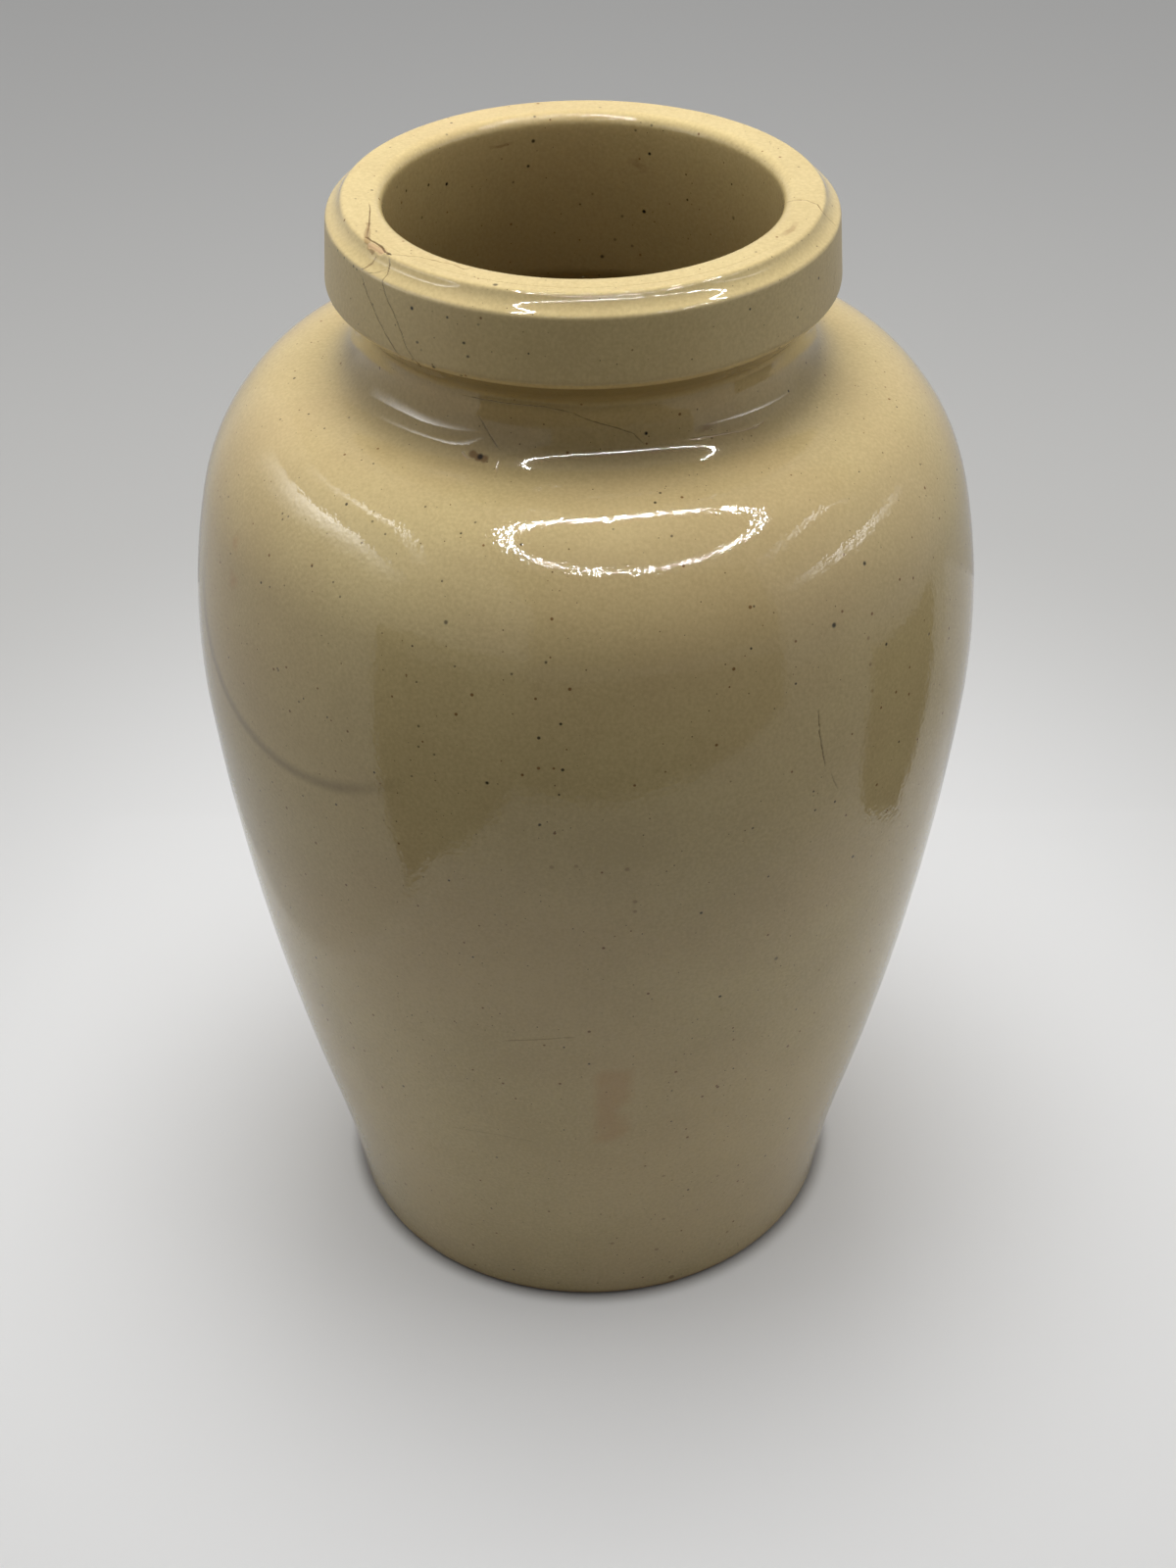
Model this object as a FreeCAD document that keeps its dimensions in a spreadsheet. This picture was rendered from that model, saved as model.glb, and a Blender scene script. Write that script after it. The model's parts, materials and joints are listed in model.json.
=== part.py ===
import FreeCAD, Part
import math
import os
import Sketcher

# Stoneware cream pot: one thrown and fired clay wall with a heavy tie-down collar round an open
# mouth, a dipped coat of glaze outside and a poured coat of glaze inside.
# Millimetres, +Z up, the origin at the centre of the standing face.
# Sizes are those of the glazed pot. The clay lies one coat of glaze under them.

SIZES = [
    ("overall_height", 139.8, "standing face to the crest of the rim"),
    ("foot_radius", 31.7, "outside of the foot at the standing face"),
    ("waist_arc", 161.0, "hollow curve that rises from the foot"),
    ("wall_arc", 356.0, "long curve of the lower wall"),
    ("wall_height", 110.7, "height of the wall arc's centre"),
    ("belly_radius", 46.4, "widest radius of the pot"),
    ("belly_arc", 83.0, "curve of the wall through the widest point"),
    ("belly_height", 86.6, "height of the widest point"),
    ("shoulder_arc", 23.0, "curve that turns the wall in over the belly"),
    ("shoulder_height", 99.9, "height of the shoulder arc's centre"),
    ("crown_arc", 12.3, "tighter curve that turns the shoulder level before the neck"),
    ("crown_height", 107.1, "height of the crown arc's centre"),
    ("neck_radius", 25.2, "narrowest radius, where a cover is tied down"),
    ("neck_arc", 5.6, "hollow between the shoulder and the neck"),
    ("neck_top", 127.0, "height at which the neck ends and the collar's underside starts"),
    ("collar_undercut", 45.0, "degrees that the collar's underside slopes"),
    ("collar_edge_arc", 0.7, "rounding of the collar's lower edge"),
    ("collar_taper", 3.8, "degrees that the band leans in towards its top"),
    ("collar_top_radius", 28.2, "outside of the band at its top"),
    ("collar_top_height", 138.0, "top of the band, where the cove starts"),
    ("cove_arc", 3.2, "hollow between the band and the crest"),
    ("crest_radius", 26.4, "outer edge of the flat crest"),
    ("seam_radius", 25.0, "where the two coats of glaze meet on the crest"),
    ("mouth_radius", 21.9, "clear bore of the mouth"),
    ("lip_arc", 2.0, "rounding from the crest into the mouth"),
    ("throat_arc", 3.0, "rounding from the mouth's bore into the shoulder"),
    ("wall_thickness", 5.2, "wall with both coats of glaze"),
    ("floor_thickness", 6.5, "floor at the middle of the pot, glaze included"),
    ("floor_arc", 11.0, "rounding from the wall into the floor"),
    ("coat", 0.35, "thickness of one coat of glaze"),
    ("glaze_line", 1.1, "height up to which the foot is wiped clean of glaze"),
    ("foot_bevel", 0.8, "bevel that takes the sharp edge off the bare clay foot"),
]

# How a sketch names the points of an edge, its own origin and its two axes
START, END, CENTRE = 1, 2, 3
ORIGIN = (-1, 1)
FLOOR_LINE = -1
POT_AXIS = -2

doc = FreeCAD.newDocument("cream_pot")


# The spreadsheet and the formulas that read it

def make_sheet():
    """Put every driving dimension in a named cell, as a plain number."""
    sheet = doc.addObject("Spreadsheet::Sheet", "Sizes")
    for row, (name, value, meaning) in enumerate(SIZES, start=1):
        sheet.set(f"A{row}", meaning)
        sheet.set(f"B{row}", str(value))
        sheet.setAlias(f"B{row}", name)
    doc.recompute()
    return sheet


def size(name):
    """Value of one cell, used to draw each sketch near to its solved shape."""
    return float(sheet.get(name))


def formula(name, clay, sign):
    """Cell name for the glazed surface, with the coat added or taken off for the clay."""
    if not clay:
        return f"Sizes.{name}"
    return f"Sizes.{name} {'+' if sign > 0 else '-'} Sizes.coat"


# Plane geometry for the first position of every arc

def towards(start, target, distance):
    """Point at a distance from start on the way to target."""
    span = math.dist(start, target)
    return (start[0] + (target[0] - start[0]) * distance / span,
            start[1] + (target[1] - start[1]) * distance / span)


def right_of(centre, height, distance):
    """Radius of the point at a height and a distance from centre, on its outer side."""
    return centre[0] + math.sqrt(distance ** 2 - (height - centre[1]) ** 2)


def crossing(centre_a, radius_a, centre_b, radius_b):
    """Point where two circles cross, on the right of the way from the first to the second."""
    span = math.dist(centre_a, centre_b)
    along = (radius_a ** 2 - radius_b ** 2 + span ** 2) / (2 * span)
    across = math.sqrt(radius_a ** 2 - along ** 2)
    foot = towards(centre_a, centre_b, along)
    return (foot[0] + (centre_b[1] - centre_a[1]) * across / span,
            foot[1] - (centre_b[0] - centre_a[0]) * across / span)


def arc_centres():
    """Centres of the arcs that the outside and the inside of the wall share."""
    belly = (size("belly_radius") - size("belly_arc"), size("belly_height"))
    wall_reach = size("wall_arc") - size("belly_arc")
    wall = (2 * belly[0] - right_of(belly, size("wall_height"), wall_reach), size("wall_height"))
    shoulder_reach = size("belly_arc") - size("shoulder_arc")
    shoulder_height = size("shoulder_height")
    shoulder = (right_of(belly, shoulder_height, shoulder_reach), shoulder_height)
    return belly, wall, shoulder


# Sketch helpers

def plane_of(body, role):
    """One of the body's own origin planes."""
    return next(item for item in body.Origin.OriginFeatures if item.Role == role)


def add_sketch(body, name):
    """Sketch on the body's upright plane: its X is the radius and its Y is the height."""
    sketch = body.newObject("Sketcher::SketchObject", name)
    sketch.AttachmentSupport = [(plane_of(body, "XZ_Plane"), "")]
    sketch.MapMode = "FlatFace"
    return sketch


def add_line(sketch, start, end):
    """Straight edge."""
    return sketch.addGeometry(Part.LineSegment(FreeCAD.Vector(*start, 0), FreeCAD.Vector(*end, 0)))


def add_arc(sketch, centre, start, end):
    """Anticlockwise arc from start to end."""
    circle = Part.Circle(FreeCAD.Vector(*centre, 0), FreeCAD.Vector(0, 0, 1), math.dist(centre, start))
    angles = [math.atan2(point[1] - centre[1], point[0] - centre[0]) for point in (start, end)]
    return sketch.addGeometry(Part.ArcOfCircle(circle, *angles))


def constrain(sketch, kind, *where):
    """Geometric constraint with no size of its own."""
    sketch.addConstraint(Sketcher.Constraint(kind, *where))


def drive(sketch, kind, where, expression):
    """Constraint whose size is bound to the sheet."""
    value = sketch.evalExpression(expression)
    value = getattr(value, "Value", value)
    if kind == "Angle":
        value = math.radians(value)
        expression = f"({expression}) * 1 deg"
    index = sketch.addConstraint(Sketcher.Constraint(kind, *where, value))
    sketch.setExpression(f"Constraints[{index}]", expression)


def drive_height(sketch, where, expression):
    """Height of a point over the standing face."""
    drive(sketch, "DistanceY", (*ORIGIN, *where), expression)


def drive_radius(sketch, where, expression):
    """Distance of a point from the pot's axis."""
    drive(sketch, "DistanceX", (*ORIGIN, *where), expression)


def drive_belly(sketch, belly):
    """Hold the belly arc's centre, which lies beyond the pot's axis."""
    drive(sketch, "DistanceX", (belly, CENTRE, *ORIGIN), "Sizes.belly_arc - Sizes.belly_radius")
    drive_height(sketch, (belly, CENTRE), "Sizes.belly_height")


def join(sketch, first, second):
    """Straight edge between two points that the sketch already holds."""
    start, end = [sketch.getPoint(*where) for where in (first, second)]
    edge = add_line(sketch, (start.x, start.y), (end.x, end.y))
    constrain(sketch, "Coincident", edge, START, *first)
    constrain(sketch, "Coincident", edge, END, *second)
    return edge


# The outside of the pot, from the foot up to the crest

def draw_outside(sketch, clay):
    """Outline of the glazed outside, or of the clay under its coat."""
    coat = size("coat") if clay else 0.0
    belly_centre, wall_centre, shoulder_centre = arc_centres()
    foot = (size("foot_radius") - coat, 0.0)
    waist_reach = size("waist_arc") + coat
    waist_centre = crossing(foot, waist_reach, wall_centre, size("wall_arc") + size("waist_arc"))
    crown_reach = size("shoulder_arc") - size("crown_arc")
    crown_height = size("crown_height")
    crown_centre = (right_of(shoulder_centre, crown_height, crown_reach), crown_height)
    neck_centre_radius = size("neck_radius") + size("neck_arc")
    neck_reach = size("crown_arc") + size("neck_arc")
    neck_drop = neck_centre_radius - crown_centre[0]
    neck_height = crown_centre[1] + math.sqrt(neck_reach ** 2 - neck_drop ** 2)
    neck_centre = (neck_centre_radius, neck_height)

    waist_top = towards(waist_centre, wall_centre, waist_reach)
    wall_top = towards(wall_centre, belly_centre, size("wall_arc") - coat)
    belly_top = towards(belly_centre, shoulder_centre, size("belly_arc") - coat)
    shoulder_top = towards(shoulder_centre, crown_centre, size("shoulder_arc") - coat)
    crown_top = towards(crown_centre, neck_centre, size("crown_arc") - coat)
    neck_foot = (size("neck_radius") - coat, neck_height)
    neck_top = (size("neck_radius") - coat, size("neck_top"))
    slope = math.radians(size("collar_undercut"))
    band_top = (size("collar_top_radius") - coat, size("collar_top_height") - coat / 2)
    edge_radius = size("collar_edge_arc")
    under_edge_radius = band_top[0] - edge_radius / 2
    under_edge = (under_edge_radius,
                  neck_top[1] + (under_edge_radius - neck_top[0]) * math.tan(slope))
    edge_centre = (under_edge[0] - edge_radius * math.sin(slope),
                   under_edge[1] + edge_radius * math.cos(slope))
    band_foot = (edge_centre[0] + edge_radius, edge_centre[1])
    crest_edge = (size("crest_radius") - coat / 2, size("overall_height") - coat)
    cove_radius = size("cove_arc") + coat
    cove_centre = crossing(crest_edge, cove_radius, band_top, cove_radius)
    if cove_centre[0] < band_top[0]:
        cove_centre = crossing(band_top, cove_radius, crest_edge, cove_radius)

    waist = add_arc(sketch, waist_centre, waist_top, foot)
    wall = add_arc(sketch, wall_centre, waist_top, wall_top)
    belly = add_arc(sketch, belly_centre, wall_top, belly_top)
    shoulder = add_arc(sketch, shoulder_centre, belly_top, shoulder_top)
    crown = add_arc(sketch, crown_centre, shoulder_top, crown_top)
    neck = add_arc(sketch, neck_centre, neck_foot, crown_top)
    neck_wall = add_line(sketch, neck_foot, neck_top)
    undercut = add_line(sketch, neck_top, under_edge)
    edge = add_arc(sketch, edge_centre, under_edge, band_foot)
    band = add_line(sketch, band_foot, band_top)
    cove = add_arc(sketch, cove_centre, crest_edge, band_top)

    constrain(sketch, "Tangent", waist, START, wall, START)
    constrain(sketch, "Tangent", wall, END, belly, START)
    constrain(sketch, "Tangent", belly, END, shoulder, START)
    constrain(sketch, "Tangent", shoulder, END, crown, START)
    constrain(sketch, "Tangent", crown, END, neck, END)
    constrain(sketch, "Tangent", neck, START, neck_wall, START)
    constrain(sketch, "Vertical", neck_wall)
    constrain(sketch, "Coincident", neck_wall, END, undercut, START)
    constrain(sketch, "Tangent", undercut, END, edge, START)
    constrain(sketch, "Tangent", edge, END, band, START)
    constrain(sketch, "Coincident", band, END, cove, END)

    drive(sketch, "Radius", (waist,), formula("waist_arc", clay, +1))
    drive(sketch, "Radius", (wall,), formula("wall_arc", clay, -1))
    drive(sketch, "Radius", (belly,), formula("belly_arc", clay, -1))
    drive(sketch, "Radius", (shoulder,), formula("shoulder_arc", clay, -1))
    drive(sketch, "Radius", (crown,), formula("crown_arc", clay, -1))
    drive(sketch, "Radius", (neck,), formula("neck_arc", clay, +1))
    drive(sketch, "Radius", (edge,), "Sizes.collar_edge_arc")
    drive(sketch, "Radius", (cove,), formula("cove_arc", clay, +1))
    drive(sketch, "Angle", (undercut,), "Sizes.collar_undercut")
    drive(sketch, "Angle", (band,), "90 + Sizes.collar_taper")

    drive_belly(sketch, belly)
    drive_height(sketch, (wall, CENTRE), "Sizes.wall_height")
    drive_height(sketch, (shoulder, CENTRE), "Sizes.shoulder_height")
    drive_radius(sketch, (waist, END), formula("foot_radius", clay, -1))
    constrain(sketch, "PointOnObject", waist, END, FLOOR_LINE)
    drive_height(sketch, (crown, CENTRE), "Sizes.crown_height")
    drive_radius(sketch, (neck, CENTRE), "Sizes.neck_radius + Sizes.neck_arc")
    drive_height(sketch, (neck_wall, END), "Sizes.neck_top")
    drive_radius(sketch, (band, END), formula("collar_top_radius", clay, -1))
    half_coat = " - Sizes.coat / 2" if clay else ""
    drive_height(sketch, (band, END), "Sizes.collar_top_height" + half_coat)
    drive_radius(sketch, (cove, START), "Sizes.crest_radius" + half_coat)
    drive_height(sketch, (cove, START), formula("overall_height", clay, -1))
    return (waist, END), (cove, START)


# The inside of the pot, from the crest down to the middle of the floor

def draw_inside(sketch, clay):
    """Outline of the glazed inside, or of the clay under its coat."""
    coat = size("coat") if clay else 0.0
    belly_centre, wall_centre, shoulder_centre = arc_centres()
    thickness = size("wall_thickness") - coat
    lip_centre = (size("mouth_radius") + size("lip_arc"), size("overall_height") - size("lip_arc"))
    lip_radius = size("lip_arc") - coat
    bore = size("mouth_radius") + coat
    throat_radius = size("throat_arc") - coat
    shoulder_radius = size("shoulder_arc") - thickness
    throat_offset = bore + throat_radius - shoulder_centre[0]
    throat_height = shoulder_centre[1] + math.sqrt(
        (shoulder_radius + throat_radius) ** 2 - throat_offset ** 2)
    throat_centre = (bore + throat_radius, throat_height)
    floor_radius = size("floor_arc") + coat
    floor_height = size("floor_thickness") - coat
    wall_radius = size("wall_arc") - thickness
    floor_centre_height = floor_height + floor_radius
    floor_centre = (right_of(wall_centre, floor_centre_height, wall_radius - floor_radius),
                    floor_centre_height)

    lip_top = (lip_centre[0], lip_centre[1] + lip_radius)
    lip_bottom = (bore, lip_centre[1])
    bore_bottom = (bore, throat_height)
    throat_bottom = towards(throat_centre, shoulder_centre, throat_radius)
    shoulder_bottom = towards(belly_centre, shoulder_centre, size("belly_arc") - thickness)
    belly_bottom = towards(wall_centre, belly_centre, wall_radius)
    wall_bottom = towards(wall_centre, floor_centre, wall_radius)
    floor_edge = (floor_centre[0], floor_height)

    lip = add_arc(sketch, lip_centre, lip_top, lip_bottom)
    bore_edge = add_line(sketch, lip_bottom, bore_bottom)
    throat = add_arc(sketch, throat_centre, bore_bottom, throat_bottom)
    shoulder = add_arc(sketch, shoulder_centre, shoulder_bottom, throat_bottom)
    belly = add_arc(sketch, belly_centre, belly_bottom, shoulder_bottom)
    wall = add_arc(sketch, wall_centre, wall_bottom, belly_bottom)
    floor_round = add_arc(sketch, floor_centre, floor_edge, wall_bottom)
    floor = add_line(sketch, floor_edge, (0.0, floor_height))

    constrain(sketch, "Tangent", lip, END, bore_edge, START)
    constrain(sketch, "Tangent", bore_edge, END, throat, START)
    constrain(sketch, "Tangent", throat, END, shoulder, END)
    constrain(sketch, "Tangent", shoulder, START, belly, END)
    constrain(sketch, "Tangent", belly, START, wall, END)
    constrain(sketch, "Tangent", wall, START, floor_round, END)
    constrain(sketch, "Tangent", floor_round, START, floor, START)
    constrain(sketch, "Vertical", lip, CENTRE, lip, START)
    constrain(sketch, "Vertical", bore_edge)
    constrain(sketch, "Horizontal", floor)
    constrain(sketch, "PointOnObject", floor, END, POT_AXIS)

    under = " + Sizes.coat" if clay else ""
    drive(sketch, "Radius", (lip,), formula("lip_arc", clay, -1))
    drive(sketch, "Radius", (throat,), formula("throat_arc", clay, -1))
    drive(sketch, "Radius", (shoulder,), "Sizes.shoulder_arc - Sizes.wall_thickness" + under)
    drive(sketch, "Radius", (belly,), "Sizes.belly_arc - Sizes.wall_thickness" + under)
    drive(sketch, "Radius", (wall,), "Sizes.wall_arc - Sizes.wall_thickness" + under)
    drive(sketch, "Radius", (floor_round,), formula("floor_arc", clay, +1))

    drive_radius(sketch, (lip, CENTRE), "Sizes.mouth_radius + Sizes.lip_arc")
    drive_height(sketch, (lip, CENTRE), "Sizes.overall_height - Sizes.lip_arc")
    drive_belly(sketch, belly)
    drive_height(sketch, (shoulder, CENTRE), "Sizes.shoulder_height")
    drive_height(sketch, (wall, CENTRE), "Sizes.wall_height")
    drive_height(sketch, (floor, END), formula("floor_thickness", clay, -1))
    return (lip, START), (floor, END)


def draw_crest_to_seam(sketch, corner):
    """Flat of the crest from a corner to the line where the two coats of glaze meet."""
    start = sketch.getPoint(*corner)
    crest = add_line(sketch, (start.x, start.y), (size("seam_radius"), start.y))
    constrain(sketch, "Coincident", crest, START, *corner)
    constrain(sketch, "Horizontal", crest)
    drive_radius(sketch, (crest, END), "Sizes.seam_radius")
    return (crest, END)


# Features

def turn(body, kind, sketch, name):
    """Turn a section once round the pot's axis, as a solid or as a cut."""
    feature = body.newObject(kind, name)
    feature.Profile = sketch
    feature.ReferenceAxis = (sketch, ["V_Axis"])
    feature.Angle = 360
    sketch.Visibility = False
    doc.recompute()
    return feature


def edge_at(shape, radius, height):
    """Name of the round edge with this radius at this height."""
    for number, edge in enumerate(shape.Edges, start=1):
        curve = edge.Curve
        round_edge = isinstance(curve, Part.Circle) and abs(curve.Radius - radius) < 0.01
        if round_edge and abs(curve.Center.z - height) < 0.01:
            return f"Edge{number}"
    raise ValueError(f"no round edge of radius {radius} at height {height}")


# Stoneware body: floor, wall, shoulder, neck and collar in one piece of fired clay

def make_stoneware_body():
    """Turned clay wall and floor with the sharp edge taken off the foot."""
    body = doc.addObject("PartDesign::Body", "stoneware_body")
    section = add_sketch(body, "clay_section")
    foot, crest = draw_outside(section, clay=True)
    lip, floor = draw_inside(section, clay=True)
    join(section, crest, lip)
    floor_middle = section.getPoint(*floor)
    axis_edge = add_line(section, (0.0, floor_middle.y), (0.0, 0.0))
    constrain(section, "Coincident", axis_edge, START, *floor)
    constrain(section, "Coincident", axis_edge, END, *ORIGIN)
    join(section, (axis_edge, END), foot)
    thrown = turn(body, "PartDesign::Revolution", section, "thrown_wall")

    bevelled = body.newObject("PartDesign::Chamfer", "bevelled_foot")
    foot_edge = edge_at(thrown.Shape, size("foot_radius") - size("coat"), 0.0)
    bevelled.Base = (thrown, [foot_edge])
    bevelled.setExpression("Size", "Sizes.foot_bevel")
    body.Tip = bevelled
    return body


# Outer glaze: the dipped coat, from the wiped foot to the middle of the crest

def make_outer_glaze():
    """Coat between the glazed outside and the clay."""
    body = doc.addObject("PartDesign::Body", "outer_glaze")
    section = add_sketch(body, "outer_coat_section")
    glazed_foot, glazed_corner = draw_outside(section, clay=False)
    clay_foot, clay_corner = draw_outside(section, clay=True)
    join(section, glazed_foot, clay_foot)
    glazed_seam = draw_crest_to_seam(section, glazed_corner)
    clay_seam = draw_crest_to_seam(section, clay_corner)
    join(section, glazed_seam, clay_seam)
    dipped = turn(body, "PartDesign::Revolution", section, "dipped_coat")

    wipe = add_sketch(body, "wipe_section")
    reach = size("belly_radius")
    low = add_line(wipe, (0.0, 0.0), (reach, 0.0))
    rise = add_line(wipe, (reach, 0.0), (reach, size("glaze_line")))
    top = add_line(wipe, (reach, size("glaze_line")), (0.0, size("glaze_line")))
    constrain(wipe, "Coincident", low, START, *ORIGIN)
    constrain(wipe, "Coincident", low, END, rise, START)
    constrain(wipe, "Coincident", rise, END, top, START)
    constrain(wipe, "PointOnObject", top, END, POT_AXIS)
    constrain(wipe, "Horizontal", low)
    constrain(wipe, "Vertical", rise)
    constrain(wipe, "Horizontal", top)
    drive_radius(wipe, (low, END), "Sizes.belly_radius")
    drive_height(wipe, (top, END), "Sizes.glaze_line")
    join(wipe, (top, END), (low, START))
    dipped_volume = dipped.Shape.Volume
    wiped = turn(body, "PartDesign::Groove", wipe, "wiped_foot")
    print("glaze wiped off the foot, mm3:", round(dipped_volume - wiped.Shape.Volume, 1))
    body.Tip = wiped
    return body


# Inner glaze: the poured coat, from the middle of the crest down over the floor

def make_inner_glaze():
    """Coat between the glazed inside and the clay."""
    body = doc.addObject("PartDesign::Body", "inner_glaze")
    section = add_sketch(body, "inner_coat_section")
    glazed_lip, glazed_floor = draw_inside(section, clay=False)
    clay_lip, clay_floor = draw_inside(section, clay=True)
    join(section, glazed_floor, clay_floor)
    glazed_seam = draw_crest_to_seam(section, glazed_lip)
    clay_seam = draw_crest_to_seam(section, clay_lip)
    join(section, glazed_seam, clay_seam)
    body.Tip = turn(body, "PartDesign::Revolution", section, "poured_coat")
    return body


# Checks and hand-over

def check(bodies):
    """Stop if any object of the document failed or any piece is not one sound solid."""
    for item in doc.Objects:
        if {"Invalid", "Error"} & set(item.State):
            raise RuntimeError(f"{item.Name} failed: {item.State}")
        if item.TypeId == "Sketcher::SketchObject" and item.solve() != 0:
            raise RuntimeError(f"sketch {item.Name} is not solved")
    for body in bodies:
        if body.Shape.isNull() or not body.Shape.isValid() or len(body.Shape.Solids) != 1:
            raise RuntimeError(f"{body.Label} is not one sound solid")


sheet = make_sheet()
pieces = [make_stoneware_body(), make_outer_glaze(), make_inner_glaze()]
doc.recompute()
check(pieces)

os.makedirs("parts", exist_ok=True)
for piece in pieces:
    piece.Shape.exportStep(f"parts/{piece.Label}.step")
    box = piece.Shape.optimalBoundingBox()
    print(f"{piece.Label}: {piece.Shape.Volume / 1000:.2f} cm3, {box.XLength:.2f} mm across,",
          f"{box.ZMin:.2f} to {box.ZMax:.2f} mm over the standing face")
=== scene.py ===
# %% [markdown]
# # A glazed stoneware cream pot
#
# The real pot is thrown on a wheel from one lump of stoneware clay, dried, dipped in a cream glaze on
# the outside, filled and emptied with the same glaze on the inside, and fired once. So it has three
# physical layers: the clay, the outer coat and the inner coat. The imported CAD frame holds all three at
# their real size. Blender keeps the clay as it is and makes each coat of glaze again as a finer mesh
# that carries what a century of use leaves: hairline cracks, a bruised rim, pits and iron specks.

# %% Load the frame
import json
import math
import random

import bmesh
import bpy
import numpy as np
from mathutils import Matrix, Vector, noise
from mathutils.bvhtree import BVHTree
from mathutils.kdtree import KDTree


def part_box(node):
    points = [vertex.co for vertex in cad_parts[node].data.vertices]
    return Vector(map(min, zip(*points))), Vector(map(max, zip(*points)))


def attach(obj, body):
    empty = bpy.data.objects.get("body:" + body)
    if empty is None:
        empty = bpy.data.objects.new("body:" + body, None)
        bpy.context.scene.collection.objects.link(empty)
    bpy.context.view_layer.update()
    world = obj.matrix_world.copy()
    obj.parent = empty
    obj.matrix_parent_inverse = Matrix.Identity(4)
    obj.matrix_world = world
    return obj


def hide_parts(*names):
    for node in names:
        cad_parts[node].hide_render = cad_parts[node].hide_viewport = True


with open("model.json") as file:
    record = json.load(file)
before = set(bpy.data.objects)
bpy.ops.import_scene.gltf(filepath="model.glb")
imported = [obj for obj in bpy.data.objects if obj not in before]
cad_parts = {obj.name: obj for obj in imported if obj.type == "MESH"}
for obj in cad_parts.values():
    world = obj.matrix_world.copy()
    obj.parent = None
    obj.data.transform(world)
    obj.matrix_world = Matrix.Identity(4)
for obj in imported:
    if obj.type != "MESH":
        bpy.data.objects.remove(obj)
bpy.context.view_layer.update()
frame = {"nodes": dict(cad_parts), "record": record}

MM = 0.001

# %% [markdown]
# ## Two helpers
#
# Colours are written as sRGB hex values, the way a colour picker shows them, and one function turns
# them into the linear numbers that shaders use. A second function adds a shader node: it sets the
# node's properties and fills its sockets, with a link where the value is another node's output. One
# function for every kind of node keeps the materials short and easy to read from top to bottom.

# %% Colour and node helpers
def linear(hex_colour):
    """Linear RGBA of an sRGB hex value such as "#d9c79f"."""
    channels = [int(hex_colour[i:i + 2], 16) / 255 for i in (1, 3, 5)]
    return tuple(c / 12.92 if c <= 0.04045 else ((c + 0.055) / 1.055) ** 2.4 for c in channels) + (1.0,)


def add_node(tree, kind, inputs=None, **settings):
    """Add a node, set its properties, and give each named or numbered socket a value or a link."""
    node = tree.nodes.new(kind)
    for name, value in settings.items():
        setattr(node, name, value)
    for socket, value in (inputs or {}).items():
        if isinstance(value, bpy.types.NodeSocket):
            tree.links.new(value, node.inputs[socket])
        else:
            node.inputs[socket].default_value = value
    return node


def empty_material(name):
    """A new material with nothing in its tree yet."""
    material = bpy.data.materials.new(name)
    material.use_nodes = True
    material.node_tree.nodes.clear()
    return material


# %% [markdown]
# ## The camera
#
# The photograph looks down on the pot from in front. Its rim, collar and foot are circles, and the way
# each circle turns into an ellipse fixes where the camera stood: 263 mm in front of the pot's axis and
# 250 mm above the table, looking down by just under 36 degrees. The camera comes before any surface,
# because every mark on the glaze is later placed by sending a ray through its pixel.

# %% Camera
PHOTO_WIDTH, PHOTO_HEIGHT = 1200, 1600
SENSOR = 36.0
FOCAL_PIXELS = 2600
CAMERA_DISTANCE = 262.9 * MM
CAMERA_HEIGHT = 250.3 * MM
LOOKS_DOWN = 0.6273
LOOKS_ASIDE = 0.0003
LEANS = -0.0075

camera_data = bpy.data.cameras.new("camera")
camera_data.sensor_width = SENSOR
camera_data.lens = SENSOR * FOCAL_PIXELS / PHOTO_HEIGHT
camera_data.clip_start = 10 * MM
camera = bpy.data.objects.new("camera", camera_data)
bpy.context.scene.collection.objects.link(camera)
camera.matrix_world = (
    Matrix.Translation((0, -CAMERA_DISTANCE, CAMERA_HEIGHT))
    @ Matrix.Rotation(-LOOKS_ASIDE, 4, "Z")
    @ Matrix.Rotation(math.pi / 2 - LOOKS_DOWN, 4, "X")
    @ Matrix.Rotation(LEANS, 4, "Z"))
bpy.context.scene.camera = camera
print("lens, mm:", round(camera_data.lens, 2))


def ray_through(pixel):
    """Start and direction of the ray through a pixel of the 1200 x 1600 photograph."""
    across = (pixel[0] - PHOTO_WIDTH / 2) / PHOTO_HEIGHT * SENSOR
    down = (pixel[1] - PHOTO_HEIGHT / 2) / PHOTO_HEIGHT * SENSOR
    way = camera.matrix_world.to_3x3() @ Vector((across, -down, -camera_data.lens))
    return camera.matrix_world.translation, way.normalized()


# %% [markdown]
# ## The outline of the pot
#
# A thrown pot is its outline turned about the wheel's axis. The outline is a chain of arcs that run
# smoothly into each other, and two such arcs always meet on the line through their centres. So once the
# centres are known, every joint and every arc follows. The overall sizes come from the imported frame, and
# the arcs repeat the CAD sizes. All of them are in millimetres here and are turned to metres at the end.

# %% Sizes of the outline
outer_low, outer_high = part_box("outer_glaze")
inner_low, inner_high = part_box("inner_glaze")
CREST = outer_high.z / MM
BELLY_RADIUS = outer_high.x / MM
COAT = 0.35
WALL = BELLY_RADIUS - (inner_high.x / MM - COAT)
MOUTH_RADIUS = next(m for m in frame["record"]["mounts"] if m["name"] == "mouth")["dims"]["r_mm"]
FLOOR_TOP = 6.5
FOOT_RADIUS, WAIST_ARC = 31.7, 161.0
WALL_ARC, WALL_HEIGHT = 356.0, 110.7
BELLY_ARC, BELLY_HEIGHT = 83.0, 86.6
SHOULDER_ARC, SHOULDER_HEIGHT = 23.0, 99.9
CROWN_ARC, CROWN_HEIGHT = 12.3, 107.1
NECK_RADIUS, NECK_ARC, NECK_TOP = 25.2, 5.6, 127.0
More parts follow.
